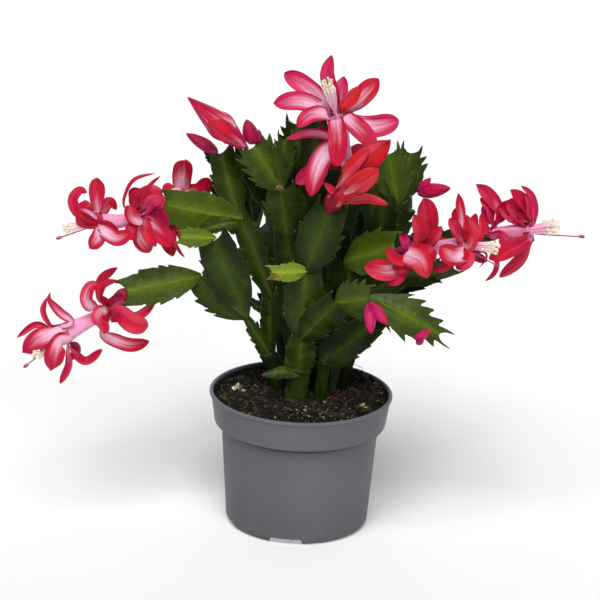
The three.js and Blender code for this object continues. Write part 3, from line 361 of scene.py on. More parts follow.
            ([(-4, 2, 1), (-6.5, 4, 4.5), (-9, 4, 8)], 7, 0.8, 0.1, 0),
            ([(10, 8, 0.5), (15.5, 12, 2), (23.5, 12, 3)], 5, 0.4, 0.2, 0.4),
            ([(5.5, -8, 4.5), (11, -14, 12), (15, -15, 20)], 8, 0.4, 0.25, 0.5),
            ([(-1.5, -8, -2.5), (-6.5, -12, -6.5), (-14, -14, -9)], 10, 0.5, 0.5, 0.5),
        ],
    ),
    "far_right": dict(
        seat=("stem_right_far", 3, 0.97, 0, 0), base=(119, -3, 204), mouth=(142, -10, 208),
        anthers=(14, -2, 4), stigma=(32, -4, -1), spread=5.4, tube=0.55,
        inner=[
            ([(1.5, 0, 3.5), (1.5, -2, 15), (-1.5, -4, 25), (-8.5, -6, 31.5)], 5, 0.3, 0.15, 0.3),
            ([(-3.5, -0.5, 5.3), (-8.5, 4, 11.7), (-16, 4, 18.5)], 12, 1, 0, 0.35),
            ([(-2, -4, 12), (-2.5, -5, 20), (-5.5, -5, 26.5)], 4.5, 0.6, 0, 0.3),
            ([(-6, 0, 5.7), (-11, 2, 8.1), (-14.5, 1, 5.1)], 6.5, 0.5, 0.6, 0.1),
            ([(-3.5, -10, -3), (-13.5, -14, -8), (-26.5, -14, -15)], 11, 0.3, 0.2, 0.4),
            ([(-0.5, -2, -7), (-6, 0, -19.5), (-18, 0, -31.5)], 8, 0.5, 0.05, 0.35, 0.1),
            ([(-3, -1, 4.8), (-6, 0, 9.5), (-10, 0, 11)], 4.5, 0.6, 0.6, 0.25),
            ([(0, 10, 3), (-1, 16, 9.5), (0, 18, 15.5)], 9, 0.5, 0.4, 0.4),
            ([(-1.5, 12, -9.5), (-6.5, 20, -17.5), (-9.5, 24, -21.5)], 9, 0.5, 0.4, 0.4),
            ([(-4, 0, 5.6), (-12.5, 4, 9), (-20.5, 4, 13.6)], 10, 0.5, 0.1, 0.35),
            ([(-2, -2, 13.5), (-7, -3, 21.5), (-15, -3, 27.5)], 8, 0.6, 0, 0.4, 0.15),
        ],
        outer=[
            ([(1.5, 1, 6.8), (2, 4, 15), (-4.5, 5, 23.5), (-13, 5, 30.2)], 9.5, 0, 0.5, 0.35),
            ([(-2, 1, 6.5), (-3, 4, 14.5), (-9.5, 5, 21.3)], 6.5, 0.3, 0.05, 0.35),
            ([(-3, -1, 0.5), (-6, 1, 3.3), (-8, 2, 11.7)], 6, 0.4, 0.2, 0.45),
            ([(-3.5, 4, 6), (-7, 5, 12.5), (-6, 5, 17.5), (-2.5, 4, 18.5)], 1.3, 0.2, 0, 0.3, 0.3),
            ([(-2, 10, 4), (-4, 14, 10), (-4.5, 14, 17)], 8, 0.5, 0.4, 0.4),
            ([(1.5, 4, -10), (4, 6, -23), (2, 5, -29.5), (-3, 5, -34.5)], 3.6, 0.3, 0.05, 0.3, 0.2),
            ([(2, -1, 8.5), (6.5, 3, 15), (13.5, 4, 20.8)], 9.5, 0.5, 0.15, 0.4),
            ([(3.5, -10, 1), (10, -15, -4), (17, -15, -7.5)], 8, 0.6, 0.3, 0.3),
        ],
    ),
}
# The half-open bloom. Its closed middle leans and has a radius at each of its points
HALF_OPEN = dict(
    seat=("stem_centre", 3, 0.97, 0.05, 0), base=(17, -24, 229), mouth=(22, -30, 236),
    lean=(0.62, -0.35, 0.70), radii=[2.4, 5.5, 5.9, 4.9, 4.2, 0.4],
    inner=[
        ([(3, -6, 10), (12.5, -12, 23), (27, -15, 38)], 15.5, 0.15, 0.5, 0.75),
        ([(2, 2, 6), (9, 0, 18.5), (23, -3, 31)], 13, 0.1, 0.4, 0.75),
        ([(5.5, -14, 6), (12.5, -20, 13.5), (20, -22, 20)], 13.5, 0.5, 0.5, 0.85),
        ([(-0.5, -10, 10.5), (4.5, -14, 21), (14, -14, 31)], 9, 0.2, 0.5, 0.8),
    ],
    outer=[
        ([(9, -10, 1.5), (20, -14, 4.5), (32.5, -16, 1.5)], 6.5, 0.2, 0.6, 0.75),
        ([(-1, -8, 5.5), (-4, -10, 9), (-8.5, -12, 13)], 4.5, 0.2, 0.3, 0.6),
        ([(5.5, 4, 4.5), (11, 2, 17), (17.5, 0, 26)], 11, 0.3, 0.3, 0.6),
        ([(5, -11, 3.5), (10, -16, 8.5), (17, -17, 9)], 7.5, 0.4, 0.35, 0.7),
    ],
)

# Buds: the seat they share, then x, y, z of the tip, width, hue and how dark of each
BUDS = {
    "bud_large": (("stem_mid_left", 4, 1, 0.3, 0), [(-78.5, -10, 287, 15.5, 0.22, 0.0)]),
    "bud_small_left": (("stem_left_high", 4, 0.995, 0.26, 0), [(-79.5, 2, 260.5, 7.4, 0.15, 0.40)]),
    "bud_top_pair": (
        ("stem_mid_left", 4, 1.005, -0.08, 0),
        [(-41.5, 4, 270.5, 9.5, 0.3, 0.42), (-33, 6, 263.5, 7, 0.2, 0.5)],
    ),
    "bud_right_pair": (
        ("stem_upper_right", 4, 0.3, -0.84, 0),
        [(90, -3, 232.5, 8.8, 0.3, 0.12), (77.5, 5, 236.5, 5.5, 0, 0.08)],
    ),
    "bud_pink_pair": (
        ("stem_centre", 6, 0.95, -0.16, 1.6), [(52.5, -63, 159.5, 7, 0, 0), (42, -63, 153, 7, 0, 0)],
    ),
    "bud_tiny_pair": (
        ("stem_centre", 7, 0.757, -0.75, 1.4),
        [(78.5, -62, 157.5, 5.2, 0, 0.1), (74.5, -57, 146, 5, 0, 0.05), (71, -61, 154, 4, 0, 0.2)],
    ),
    "bud_back": (("stem_back", 4, 0.97, 0, 0), [(4, 154, 198, 9, 0.1, 0.2)]),
}
# Buds wider than this are of the large kind
LARGE_BUD_WIDTH = 12
# Kinds of bud: outline (part of the length, part of the half width), grid of a scale, how far scales wind
# round, and the scales: turn (a quarter turn faces the viewer), start, end, half turn it covers, how
# blunt, lift and change of hue
LARGE_BUD = dict(
    outline=[
        (0, 0.22), (0.08, 0.27), (0.20, 0.48), (0.36, 0.91), (0.46, 1), (0.64, 0.76), (0.84, 0.36), (1, 0.02),
    ],
    grid=(24, 15), winding=0.25,
    scales=[
        (0.2, 0.10, 0.985, 1.15, 0, 0.10, 0.1), (2.3, 0.12, 0.99, 1.15, 0, 0.22, 0.05),
        (4.4, 0.10, 0.98, 1.15, 0, 0.16, 0.1), (1.15, 0.14, 0.93, 1.0, 0, 0.42, 0.15),
        (3.6, 0.08, 0.62, 1.1, 1, 0.5, -0.2), (5.4, 0.08, 0.60, 1.1, 1, 0.6, -0.2),
        (1.70, 0.06, 0.66, 0.88, 1, 1.3, 0.3), (0.55, 0.05, 0.36, 0.6, 1, 0.7, -0.3),
        (2.9, 0.05, 0.34, 0.6, 1, 0.8, -0.3),
    ],
)
SMALL_BUD = dict(
    outline=[(0, 0.42), (0.10, 0.66), (0.30, 0.97), (0.46, 1), (0.68, 0.80), (0.88, 0.42), (1, 0.04)],
    grid=(14, 9), winding=0.4,
    scales=[
        (0.9, 0.12, 0.98, 1.25, 0, 0.06, 0), (3.0, 0.10, 0.975, 1.25, 0, 0.10, 0),
        (5.1, 0.08, 0.97, 1.25, 0, 0.08, 0), (2.0, 0.03, 0.50, 1.1, 1, 0.16, 0),
        (4.2, 0.02, 0.44, 1.1, 1, 0.18, 0), (0.1, 0.02, 0.38, 1.1, 1, 0.20, 0),
    ],
)
# How wide a blunt and a pointed scale is along its length
BLUNT_SCALE = (
    [0, 0.2, 0.45, 0.62, 0.75, 0.85, 0.93, 0.98, 1],
    [0.7, 0.95, 1.0, 0.98, 0.92, 0.81, 0.61, 0.36, 0.08],
)
POINTED_SCALE = ([0, 0.2, 0.6, 0.85, 1], [0.5, 1.0, 1.05, 0.75, 0.06])
BUD_ROWS = 26
SCALE_HALF = 0.14

# Flower tubes
FOOT_RADIUS = 1.1
OVARY_RADIUS = 2.9
NECK_RADIUS = 3.5
MOUTH_RADIUS = 6.3
THROAT_RADIUS = 4.4
THROAT_DEPTH = 9
TUBE_RADII = [FOOT_RADIUS, OVARY_RADIUS, NECK_RADIUS, MOUTH_RADIUS * 0.72, MOUTH_RADIUS]
# Rows over the lip and down the throat: way back from the mouth, radius, how pale and how dark
# The darkening deeper down the throat is painted shade
THROAT = [
    (-0.1, MOUTH_RADIUS * 0.92, 0.9, 0.1), (0.6, MOUTH_RADIUS * 0.80, 0.8, 0.15),
    (4, THROAT_RADIUS, 0.7, 0.3), (THROAT_DEPTH, THROAT_RADIUS * 0.84, 0.6, 0.5),
]
TUBE_ROWS = 34
TUBE_SIDES = 28
TUBE_PALE = 0.62
TUBE_MARK = 3.7
FLUTE_COUNT = 7
FLUTE_DEPTH = 0.035
HALF_OPEN_ROWS = 40
HALF_OPEN_SIDES = 32
HALF_OPEN_MARK = 3.3
# Rings that the petals leave from: how deep in the tube they start, the ring's radius and how much wider
# each next petal's is
INNER_RING = (3.5, 5.8, 0.05)
OUTER_RING = (1.5, 3.5, 0.05)
HALF_OPEN_INNER_RING = (3.0, 4.4, 0.1)
HALF_OPEN_OUTER_RING = (1.0, 4.9, 0.1)
OUTER_SEED = 20
FACE_SHARE = 0.78
PETAL_CUP = 1.3
PETAL_HALF = 0.34

# Stamens and style. Where they run is told along the tube from its mouth and up towards the anthers
STAMEN_COUNT = 56
STAMEN_ROOT = -7.6
STAMEN_RISE = 0.8
STAMEN_ROOT_SPREAD = 0.9
STAMEN_RADII = [0.40, 0.27]
STAMEN_ROWS = 14
GOLDEN_PART = 0.381966
ANTHER_HALF = 0.62
ANTHER_ROWS = 7
STYLE_ROUTE = [(-8.2, -1.5), (0.5, -1.7), (2, -2.2)]
STYLE_RADII = [0.45, 0.38, 0.42]
STYLE_ROWS = 30
STIGMA_HALF = 2.3
STIGMA_RADIUS = 1.1
STIGMA_ROWS = 13

# Starts of the random numbers
BLOOM_SEED = 100
BLOOM_SEED_STEP = 50
HALF_OPEN_SEED = 900
STAMEN_SEED = 18
BUD_SEED = 40
SCAR_SEED = 31


def unit(vector):
    return vector / np.linalg.norm(vector)


def units(vectors):
    """The same for each row."""
    return vectors / np.linalg.norm(vectors, axis=1)[:, None]


def around(count):
    """Angles of a full turn."""
    return np.arange(count) * 2 * math.pi / count


def field(*values):
    """Numbers and arrays over one grid, as a vector for each of its places."""
    return np.stack(np.broadcast_arrays(*values), -1).astype(float)


def repeatable(state):
    """The part's own random numbers between 0 and 1."""
    while True:
        state = (state * 1664525 + 1013904223) % 4294967296
        yield state / 4294967296


def smoothstep(low, high, value):
    part = np.clip((value - low) / (high - low), 0, 1)
    return part * part * (3 - 2 * part)


def smooth_path(points, count):
    """A Catmull-Rom curve through the points, in count rows."""
    points = np.asarray(points, float)
    padded = np.vstack([2 * points[0] - points[1], points, 2 * points[-1] - points[-2]])
    place = np.linspace(0, len(points) - 1, count)
    start = np.minimum(place.astype(int), len(points) - 2)
    t = (place - start)[:, None]
    a, b, c, d = (padded[start + i] for i in range(4))
    square = (2 * a - 5 * b + 4 * c - d) * t ** 2
    return 0.5 * (2 * b + (c - a) * t + square + (3 * b - a - 3 * c + d) * t ** 3)


def smooth_values(values, count):
    """The same through single numbers."""
    return smooth_path([(value, 0) for value in values], count)[:, 0]


def waves(places, seed, size, count=7):
    """Soft seeded noise between about -1 and 1 at an array of places; size is the length of its waves."""
    chance = random.Random(seed)
    total = 0
    for _ in range(count):
        direction = np.array([chance.gauss(0, 1) for _ in range(3)])
        direction *= chance.uniform(0.7, 1.5) * 2 * math.pi / (size * np.linalg.norm(direction))
        total = total + np.sin(places @ direction + chance.uniform(0, 6.28))
    return total / math.sqrt(count)


def grid_quads(grid):
    return np.stack([grid[:-1, :-1], grid[1:, :-1], grid[1:, 1:], grid[:-1, 1:]], -1).reshape(-1, 4)


def tube_faces(rows, columns):
    """Faces of rings of points, closed by the two points after them: the start's middle and the end's."""
    grid = np.arange(rows * columns).reshape(rows, columns)
    following = np.roll(grid, -1, 1)
    quads = np.stack([grid[:-1], following[:-1], following[1:], grid[1:]], -1).reshape(-1, 4)
    start = np.stack([np.full(columns, rows * columns), following[0], grid[0]], -1)
    end = np.stack([np.full(columns, rows * columns + 1), grid[-1], following[-1]], -1)
    return [quads, start, end]


def link(name, data):
    thing = bpy.data.objects.new(name, data)
    bpy.context.scene.collection.objects.link(thing)
    return thing


class Piece:
    """Collects closed shells. A point has a spot (along, across, seed) and a tone: three numbers for its
    paint."""

    def __init__(self, name):
        self.name = name
        self.points, self.spots, self.tones, self.faces = [], [], [], []
        self.count = 0

    def add(self, points, faces, spots=(0, 0, 0), tones=(0, 0, 0)):
        points = np.asarray(points, float).reshape(-1, 3)
        self.points.append(points)
        self.spots.append(np.broadcast_to(np.asarray(spots, float), points.shape))
        self.tones.append(np.broadcast_to(np.asarray(tones, float), points.shape))
        for group in faces:
            self.faces.extend((np.asarray(group) + self.count).tolist())
        self.count += len(points)

    def blade(self, upper, lower, spots, tones):
        """Two faces over one grid and the rim that closes them."""
        rows, columns = upper.shape[:2]
        front = np.arange(rows * columns).reshape(rows, columns)
        back = front + rows * columns
        loop = np.concatenate([front[:-1, 0], front[-1, :-1], front[:0:-1, -1], front[0, :0:-1]])
        after = np.roll(loop, -1)
        rim = np.stack([after, loop, loop + rows * columns, after + rows * columns], 1)
        flat_spots = spots.reshape(-1, 3)
        flat_tones = np.broadcast_to(tones, spots.shape).reshape(-1, 3)
        self.add(
            np.vstack([upper.reshape(-1, 3), lower.reshape(-1, 3)]),
            [grid_quads(front), grid_quads(back)[:, ::-1], rim],
            np.vstack([flat_spots, flat_spots]), np.vstack([flat_tones, flat_tones]),
        )

    def sheet(self, where, up, lift, thick, spots, tones):
        """A blade on both sides of a grid that is lifted along up."""
        self.blade(
            where + up * (lift + thick)[..., None], where + up * (lift - thick)[..., None], spots, tones,
        )

    def tube(self, path, along, radii, spots, end_spots, tones, flat=1.0, facing=None):
        """Rings round a path. It takes a radius for each row and angle, and one tone or one for each row."""
        rows, sides = radii.shape
        angles = around(sides)
        helper = facing
        if facing is None:
            helper = np.array([0, 0, 1.0] if abs(along[0][2]) < 0.9 else [1.0, 0, 0])
        rings = []
        for centre, direction, radius in zip(path, along, radii):
            helper = unit(helper - direction * (helper @ direction))
            other = np.cross(direction, helper)
            wide, high = radius * np.cos(angles) * flat, radius * np.sin(angles)
            rings.append(centre + wide[:, None] * helper + high[:, None] * other)
        if not isinstance(tones, tuple):
            tones = np.vstack([np.repeat(tones, sides, 0), tones[:1], tones[-1:]])
        points = np.vstack([np.concatenate(rings), path[:1], path[-1:]])
        self.add(points, tube_faces(rows, sides), np.vstack([spots.reshape(-1, 3), end_spots]), tones)

    def strand(self, path, radii, sides, seed=0, tones=(0, 0, 0), shape=None, flat=1.0, facing=None):
        """A closed tube along a path; shape(part, angles) changes its radius round about."""
        path = np.asarray(path, float)
        angles = around(sides)
        parts = np.linspace(0, 1, len(path))
        if shape:
            grid = np.stack([radius * shape(part, angles) for radius, part in zip(radii, parts)])
        else:
            grid = np.repeat(np.asarray(radii, float)[:, None], sides, 1)
        spots = field(parts[:, None], np.cos(angles), seed)
        ends = [(0, 0, seed), (1, 0, seed)]
        self.tube(path, units(np.gradient(path, axis=0)), grid, spots, ends, tones, flat, facing)

    def finish(self, paint, slot, *nodes, sharp=None):
        mesh = bpy.data.meshes.new(self.name)
        mesh.from_pydata((np.vstack(self.points) * MM).tolist(), [], self.faces)
        for label, values in (("spot", self.spots), ("tone", self.tones)):
            layer = mesh.attributes.new(label, "FLOAT_VECTOR", "POINT")
            layer.data.foreach_set("vector", np.vstack(values).astype(np.float32).ravel())
        piece = link(self.name, mesh)
        mesh.shade_smooth()
        if sharp:
            mesh.set_sharp_from_angle(angle=math.radians(sharp))
        mesh.materials.append(PAINTS[paint])
        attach(piece, BODY)
        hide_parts(*nodes)
        return piece


class Paint:
    """A material and short ways to add its nodes. The scale of a noise counts its waves in one unit of
    its vector: in a metre of a place."""

    def __init__(self, name, **inputs):
        self.material = bpy.data.materials.new(name)
        self.material.use_nodes = True
        self.tree = self.material.node_tree
        self.shader = self.tree.nodes["Principled BSDF"]
        self.set(self.shader, inputs)

    def set(self, node, inputs):
        for key, value in inputs.items():
            name = key.replace("_", " ") if isinstance(key, str) else key
            if isinstance(value, bpy.types.NodeSocket):
                self.tree.links.new(value, node.inputs[name])
            else:
                node.inputs[name].default_value = value

    def node(self, kind, output=0, settings=None, inputs=None):
        node = self.tree.nodes.new("ShaderNode" + kind)
        for key, value in (settings or {}).items():
            setattr(node, key, value)
        self.set(node, inputs or {})
        return node.outputs[output]

    def vector(self, label):
        return self.node("Attribute", "Vector", {"attribute_name": label})

    def axis(self, vector, axis):
        return self.node("SeparateXYZ", axis, None, {"Vector": vector})

    def part(self, label, axis):
        return self.axis(self.vector(label), axis)

    def vector_math(self, operation, inputs, output=0):
        return self.node("VectorMath", output, {"operation": operation}, inputs)

    def spot(self, scale):
        return self.vector_math("MULTIPLY", {0: self.vector("spot"), 1: scale})

    def place(self):
        return self.node("TexCoord", "Object")

    def noise(self, vector, scale, detail=3.0, rough=0.5):
        inputs = {"Vector": vector, "Scale": scale, "Detail": detail, "Roughness": rough}
        return self.node("TexNoise", 0, None, inputs)

    def math(self, operation, a, b=0.0, clamp=False):
        return self.node("Math", 0, {"operation": operation, "use_clamp": clamp}, {0: a, 1: b})

    def times(self, a, b, clamp=False):
        return self.math("MULTIPLY", a, b, clamp)

    def plus(self, a, b, clamp=False):
        return self.math("ADD", a, b, clamp)

    def minus(self, a, b):
        return self.math("SUBTRACT", a, b)

    def range(self, value, low, high, to_low=0.0, to_high=1.0):
        settings = {"interpolation_type": "SMOOTHSTEP"}
        return self.node("MapRange", 0, settings, {0: value, 1: low, 2: high, 3: to_low, 4: to_high})

    def mix(self, factor, a, b, blend="MIX"):
        node = self.tree.nodes.new("ShaderNodeMix")
        node.data_type = "RGBA"
        node.blend_type = blend
        for index, value in ((0, factor), (6, a), (7, b)):
            if isinstance(value, bpy.types.NodeSocket):
                self.tree.links.new(value, node.inputs[index])
            else:
                node.inputs[index].default_value = value if index == 0 else (*value, 1)
        return node.outputs[2]

    def over(self, colour, mask, share, tint):
        """The colour with a share of a tint over it where the mask is 1."""
        return self.mix(self.times(mask, share), colour, tint)

    def ramp(self, factor, stops):
        node = self.tree.nodes.new("ShaderNodeValToRGB")
        self.tree.links.new(factor, node.inputs[0])
        while len(node.color_ramp.elements) < len(stops):
            node.color_ramp.elements.new(0.5)
        for element, (place, colour) in zip(node.color_ramp.elements, stops):
            element.position = place
            element.color = (*colour, 1)
        return node.outputs[0]

    def bump(self, height, strength, distance):
        return self.node("Bump", 0, None, {"Height": height, "Strength": strength, "Distance": distance})


# Leaf colours from old to young, and what lies over them
LEAF_GREENS = [
    (0.0, (0.008, 0.0155, 0.002)), (0.2, (0.028, 0.050, 0.003)), (0.4, (0.074, 0.118, 0.006)),
    (0.7, (0.17, 0.24, 0.020)), (1.0, (0.27, 0.33, 0.030)),
]
VEIN_GAIN = (1.9, 1.75, 1.5)
LEAF_DUST_AND_SHEEN = (0.11, 0.15, 0.035)
LEAF_PAINTED_SHEEN = (0.064, 0.105, 0.018)
LEAF_SPECK = (0.30, 0.34, 0.22)
LEAF_MARGIN = (0.18, 0.22, 0.08)
LEAF_HORN = (0.36, 0.36, 0.22)
LEAF_WITHERED = (0.15, 0.075, 0.025)


def leaf_paint():
    """Tones: how young, vein (below 0 horny), how withered."""
    p = Paint("leaf_green", Subsurface_Weight=0.03, Subsurface_Scale=0.001, Specular_IOR_Level=0.12)
    p.shader.inputs["Subsurface Radius"].default_value = (0.4, 0.8, 0.2)
    young, vein, tip = (p.part("tone", axis) for axis in "XYZ")
    horny = p.range(p.times(vein, -1.0), 0.45, 1.0)
    across = p.math("ABSOLUTE", p.part("spot", "Y"))
    blotch = p.noise(p.place(), 75.0, 5.0, 0.6)
    fine = p.noise(p.place(), 900.0, 3.0)
    middle = p.range(across, 0.62, 0.0, -0.055, 0.10)
    age = p.plus(young, p.times(p.minus(blotch, 0.48), 0.30))
    colour = p.ramp(p.plus(age, middle, clamp=True), LEAF_GREENS)
    lighter = p.mix(1.0, colour, VEIN_GAIN, "MULTIPLY")
    colour = p.mix(p.times(vein, 0.52, clamp=True), colour, lighter)
    colour = p.vector_math("SCALE", {0: colour, "Scale": p.range(fine, 0.35, 0.65, 0.86, 1.12)})
    # Dust, with a slight painted sheen, in small patches
    colour = p.over(colour, p.range(p.noise(p.place(), 130.0, 5.0, 0.6), 0.55, 0.75), 0.12, LEAF_DUST_AND_SHEEN)
    # Painted greyish sheen, a painted reflection, in large soft patches
    sheen = p.times(p.range(p.noise(p.place(), 24.0, 1.0), 0.50, 0.72), p.range(across, 1.0, 0.55))
    colour = p.over(colour, sheen, 0.24, LEAF_PAINTED_SHEEN)
    colour = p.over(colour, p.range(p.noise(p.place(), 1300.0, 2.0), 0.70, 0.76), 0.5, LEAF_SPECK)
    colour = p.over(colour, p.range(across, 0.94, 1.0), 0.14, LEAF_MARGIN)
    colour = p.over(colour, horny, 0.6, LEAF_HORN)
    withered = p.range(p.plus(tip, p.times(fine, 0.3)), 0.35, 0.85)
    colour = p.mix(withered, colour, LEAF_WITHERED)
    p.set(p.shader, {
        "Base Color": colour,
        "Roughness": p.range(blotch, 0.2, 0.8, 0.28, 0.46),
        "Normal": p.bump(p.plus(p.noise(p.place(), 260.0, 5.0), p.times(fine, 0.3)), 0.30, 0.0009),
    })
    return p.material


# Margin colours of petals from magenta to orange red, their pale middles and what lies over them
PETAL_MARGINS = [
    (0.0, (0.56, 0.011, 0.135)), (0.4, (0.51, 0.006, 0.040)), (0.7, (0.56, 0.009, 0.022)),
    (1.0, (0.66, 0.030, 0.015)),
]
PETAL_PALE = (0.93, 0.58, 0.75)
PETAL_LILAC = (0.89, 0.24, 0.53)
PETAL_VEIN = (0.66, 0.06, 0.28)
PETAL_EDGE = (0.46, 0.008, 0.12)
PETAL_FOLD_LIGHT = (0.86, 0.12, 0.20)
PETAL_CREASE_SHADE = (0.36, 0.004, 0.04)
PETAL_TIP = (0.42, 0.003, 0.03)
PETAL_DEEP = (0.25, 0.002, 0.016)
PETAL_RIM = (0.27, 0.002, 0.022)
PETAL_SHADE = (0.13, 0.003, 0.03)


def petal_paint():
    """Tones: how pale, hue, how dark."""
    p = Paint(
        "petal", Subsurface_Weight=0.12, Subsurface_Scale=0.0015, Specular_IOR_Level=0.14, Roughness=0.36,
    )
    p.shader.inputs["Subsurface Radius"].default_value = (1.0, 0.3, 0.4)
    pale, hue, dark = (p.part("tone", axis) for axis in "XYZ")
    along = p.part("spot", "X")
    across = p.math("ABSOLUTE", p.part("spot", "Y"))
    streak = p.noise(p.spot((1.5, 3.2, 17.3)), 1.0, 3.0, 0.5)
    fine = p.noise(p.spot((2.4, 30.0, 7.7)), 1.0, 2.0)
    margin = p.ramp(hue, PETAL_MARGINS)
    # The pale middle reaches far up pale petals and stays off the margin
    wobble = p.times(p.minus(streak, 0.5), 0.42)
    bow = p.times(p.math("POWER", across, 2.2), 0.70)
    reach = p.plus(p.plus(along, bow), wobble)
    limit = p.plus(p.times(pale, 0.98), 0.10)
    light = p.range(p.minus(limit, reach), -0.06, 0.62)
    light = p.times(light, p.plus(p.times(pale, 0.45), 0.55), clamp=True)
    lilac = p.over(PETAL_PALE, p.range(along, 0.26, 0.0), 0.55, PETAL_LILAC)
    colour = p.mix(light, margin, lilac)
    vein = p.times(p.range(fine, 0.42, 0.75), p.times(light, 0.14))
    colour = p.mix(vein, colour, PETAL_VEIN)
    edge = p.times(p.range(across, 0.80, 0.98), p.range(along, 0.85, 0.2))
    colour = p.over(colour, edge, 0.8, PETAL_EDGE)
    bare = p.minus(1.0, light)
    signed = p.plus(p.part("spot", "Y"), wobble)
    # Painted light: a lighter pink on one side of a fold, in seeded patches
    fold_light_patches = p.range(p.noise(p.spot((0.4, 0.0, 5.3)), 1.0, 1.0), 0.42, 0.60)
    fold_light = p.times(p.range(signed, -0.1, 0.35), fold_light_patches)
    colour = p.mix(p.times(p.times(fold_light, 0.30), bare), colour, PETAL_FOLD_LIGHT)
    # Painted shade along the crease down the middle
    crease_shade = p.range(p.math("ABSOLUTE", p.minus(signed, 0.05)), 0.10, 0.0)
    colour = p.mix(p.times(p.times(crease_shade, 0.22), bare), colour, PETAL_CREASE_SHADE)
    colour = p.over(colour, p.range(along, 0.78, 1.0), 0.35, PETAL_TIP)
    colour = p.mix(p.times(p.range(streak, 0.42, 0.72), p.times(bare, 0.6)), colour, PETAL_DEEP)
    colour = p.over(colour, p.range(across, 0.84, 1.0), 0.4, PETAL_RIM)
    colour = p.mix(dark, colour, PETAL_SHADE)
    height = p.plus(p.times(fine, 0.4), streak)
    p.set(p.shader, {"Base Color": colour, "Normal": p.bump(height, 0.35, 0.0009)})
    return p.material


# Greys of the pot, and heights and radii in metres where its paint changes
POT_GREYS = [(0.3, (0.111, 0.114, 0.126)), (0.7, (0.127, 0.131, 0.144))]
BAND_SHADOW = (0.022, 0.022, 0.024)
INNER_WALL_PAINTED_SHADE = (0.014, 0.013, 0.013)
UNDER_FOOT_PAINTED_LIGHT = (0.85, 0.85, 0.84)
POT_DUST = (0.21, 0.19, 0.16)
POT_SCUFF = (0.27, 0.27, 0.27)
WALL_LEAN = 0.165


def pot_paint():
    p = Paint("pot_grey", Specular_IOR_Level=0.10)
    cloud = p.noise(p.place(), 22.0, 5.0, 0.6)
    grain = p.noise(p.place(), 1800.0, 2.0)
    colour = p.ramp(cloud, POT_GREYS)
    height = p.axis(p.place(), "Z")
    flat = p.vector_math("MULTIPLY", {0: p.place(), 1: (1, 1, 0)})
    radius = p.vector_math("LENGTH", {0: flat}, "Value")
    # Painted shade: darker towards the bottom
    colour = p.vector_math("SCALE", {0: colour, "Scale": p.range(height, 0.045, 0.0, 1.0, 0.84)})
    # Painted shadow in the line under the band, where it meets the body
    line = p.times(p.range(height, 0.0658, 0.0676), p.range(height, 0.0697, 0.0688))
    colour = p.over(colour, line, 0.9, BAND_SHADOW)
    # Painted shade on the wall inside, above the soil
    inner = p.range(p.minus(radius, p.times(height, WALL_LEAN)), 0.0441, 0.0435)
    inner = p.times(inner, p.range(height, 0.0895, 0.0875))
    inner = p.times(inner, p.range(height, 0.066, 0.070))
    colour = p.mix(inner, colour, INNER_WALL_PAINTED_SHADE)
    # Painted light under the foot, in the drain recesses
    under_light = p.times(p.range(radius, 0.0452, 0.0446), p.range(height, 0.0048, 0.0044))
    colour = p.over(colour, under_light, 0.95, UNDER_FOOT_PAINTED_LIGHT)
    dust = p.times(p.range(p.noise(p.place(), 160.0, 6.0, 0.7), 0.52, 0.72), p.range(height, 0.020, 0.0))
    colour = p.over(colour, dust, 0.5, POT_DUST)
    colour = p.over(colour, p.range(p.noise(p.place(), 420.0, 2.0), 0.72, 0.78), 0.35, POT_SCUFF)
    p.set(p.shader, {
        "Base Color": colour,
        "Roughness": p.range(cloud, 0.3, 0.7, 0.40, 0.52),
        "Normal": p.bump(grain, 0.12, 0.0002),
    })
    return p.material


def soil_paint():
    """The tone is the colour, which gets darker and lighter in small spots."""
    p = Paint("soil_brown", Specular_IOR_Level=0.3)
    tone = p.vector("tone")
    mottle = p.noise(p.place(), 420.0, 5.0, 0.65)
    shade = p.ramp(
        mottle, [(0.34, (0.14, 0.14, 0.14)), (0.52, (0.75, 0.73, 0.70)), (0.68, (2.3, 2.15, 1.95))],
    )
    p.set(p.shader, {
        "Base Color": p.vector_math("MULTIPLY", {0: tone, 1: shade}),
        "Roughness": p.range(mottle, 0.3, 0.7, 0.75, 0.97),
        "Normal": p.bump(p.noise(p.place(), 1100.0, 4.0, 0.7), 0.9, 0.0008),
    })
    return p.material


def anther_paint():
    """The first tone tells anthers from their threads."""
    p = Paint("anther_cream", Subsurface_Weight=0.15, Subsurface_Scale=0.002, Roughness=0.6)
    body = p.part("tone", "X")
    grain = p.noise(p.place(), 1600.0, 2.0)
    thread = p.ramp(
        p.part("spot", "X"), [(0.0, (1.0, 0.27, 0.56)), (0.6, (1.0, 0.48, 0.70)), (1.0, (1.0, 0.84, 0.80))],
    )
    cream = p.ramp(grain, [(0.3, (0.80, 0.66, 0.42)), (0.6, (0.98, 0.92, 0.74))])
    p.set(p.shader, {"Base Color": p.mix(body, thread, cream), "Normal": p.bump(grain, 0.5, 0.0003)})
    return p.material


def style_paint():
    p = Paint("style_magenta", Subsurface_Weight=0.15, Subsurface_Scale=0.002, Roughness=0.42)
    grain = p.noise(p.spot((12.0, 3.0, 5.0)), 1.0, 3.0)
    colour = p.ramp(
        p.part("spot", "X"),
        [(0.0, (0.62, 0.20, 0.38)), (0.5, (0.40, 0.012, 0.12)), (1.0, (0.20, 0.004, 0.065))],
    )
    colour = p.over(colour, grain, 0.16, (0.75, 0.1, 0.3))
    p.set(p.shader, {"Base Color": colour, "Normal": p.bump(grain, 0.3, 0.0003)})
    return p.material


PAINTS = {
    "leaf": leaf_paint(), "petal": petal_paint(), "pot": pot_paint(), "soil": soil_paint(),
    "anther": anther_paint(), "style": style_paint(),
}


# One side of a leaf: the even envelope (part of its length, part of its half width) and its teeth
LEAF_ENVELOPE = [
    (0, 0.15), (0.06, 0.30), (0.15, 0.52), (0.27, 0.74), (0.40, 0.88), (0.54, 0.94), (0.68, 0.93),
    (0.80, 0.86), (0.90, 0.77), (0.97, 0.66), (1.0, 0.58),
]
LEAF_TEETH = [0.33, 0.52, 0.72]
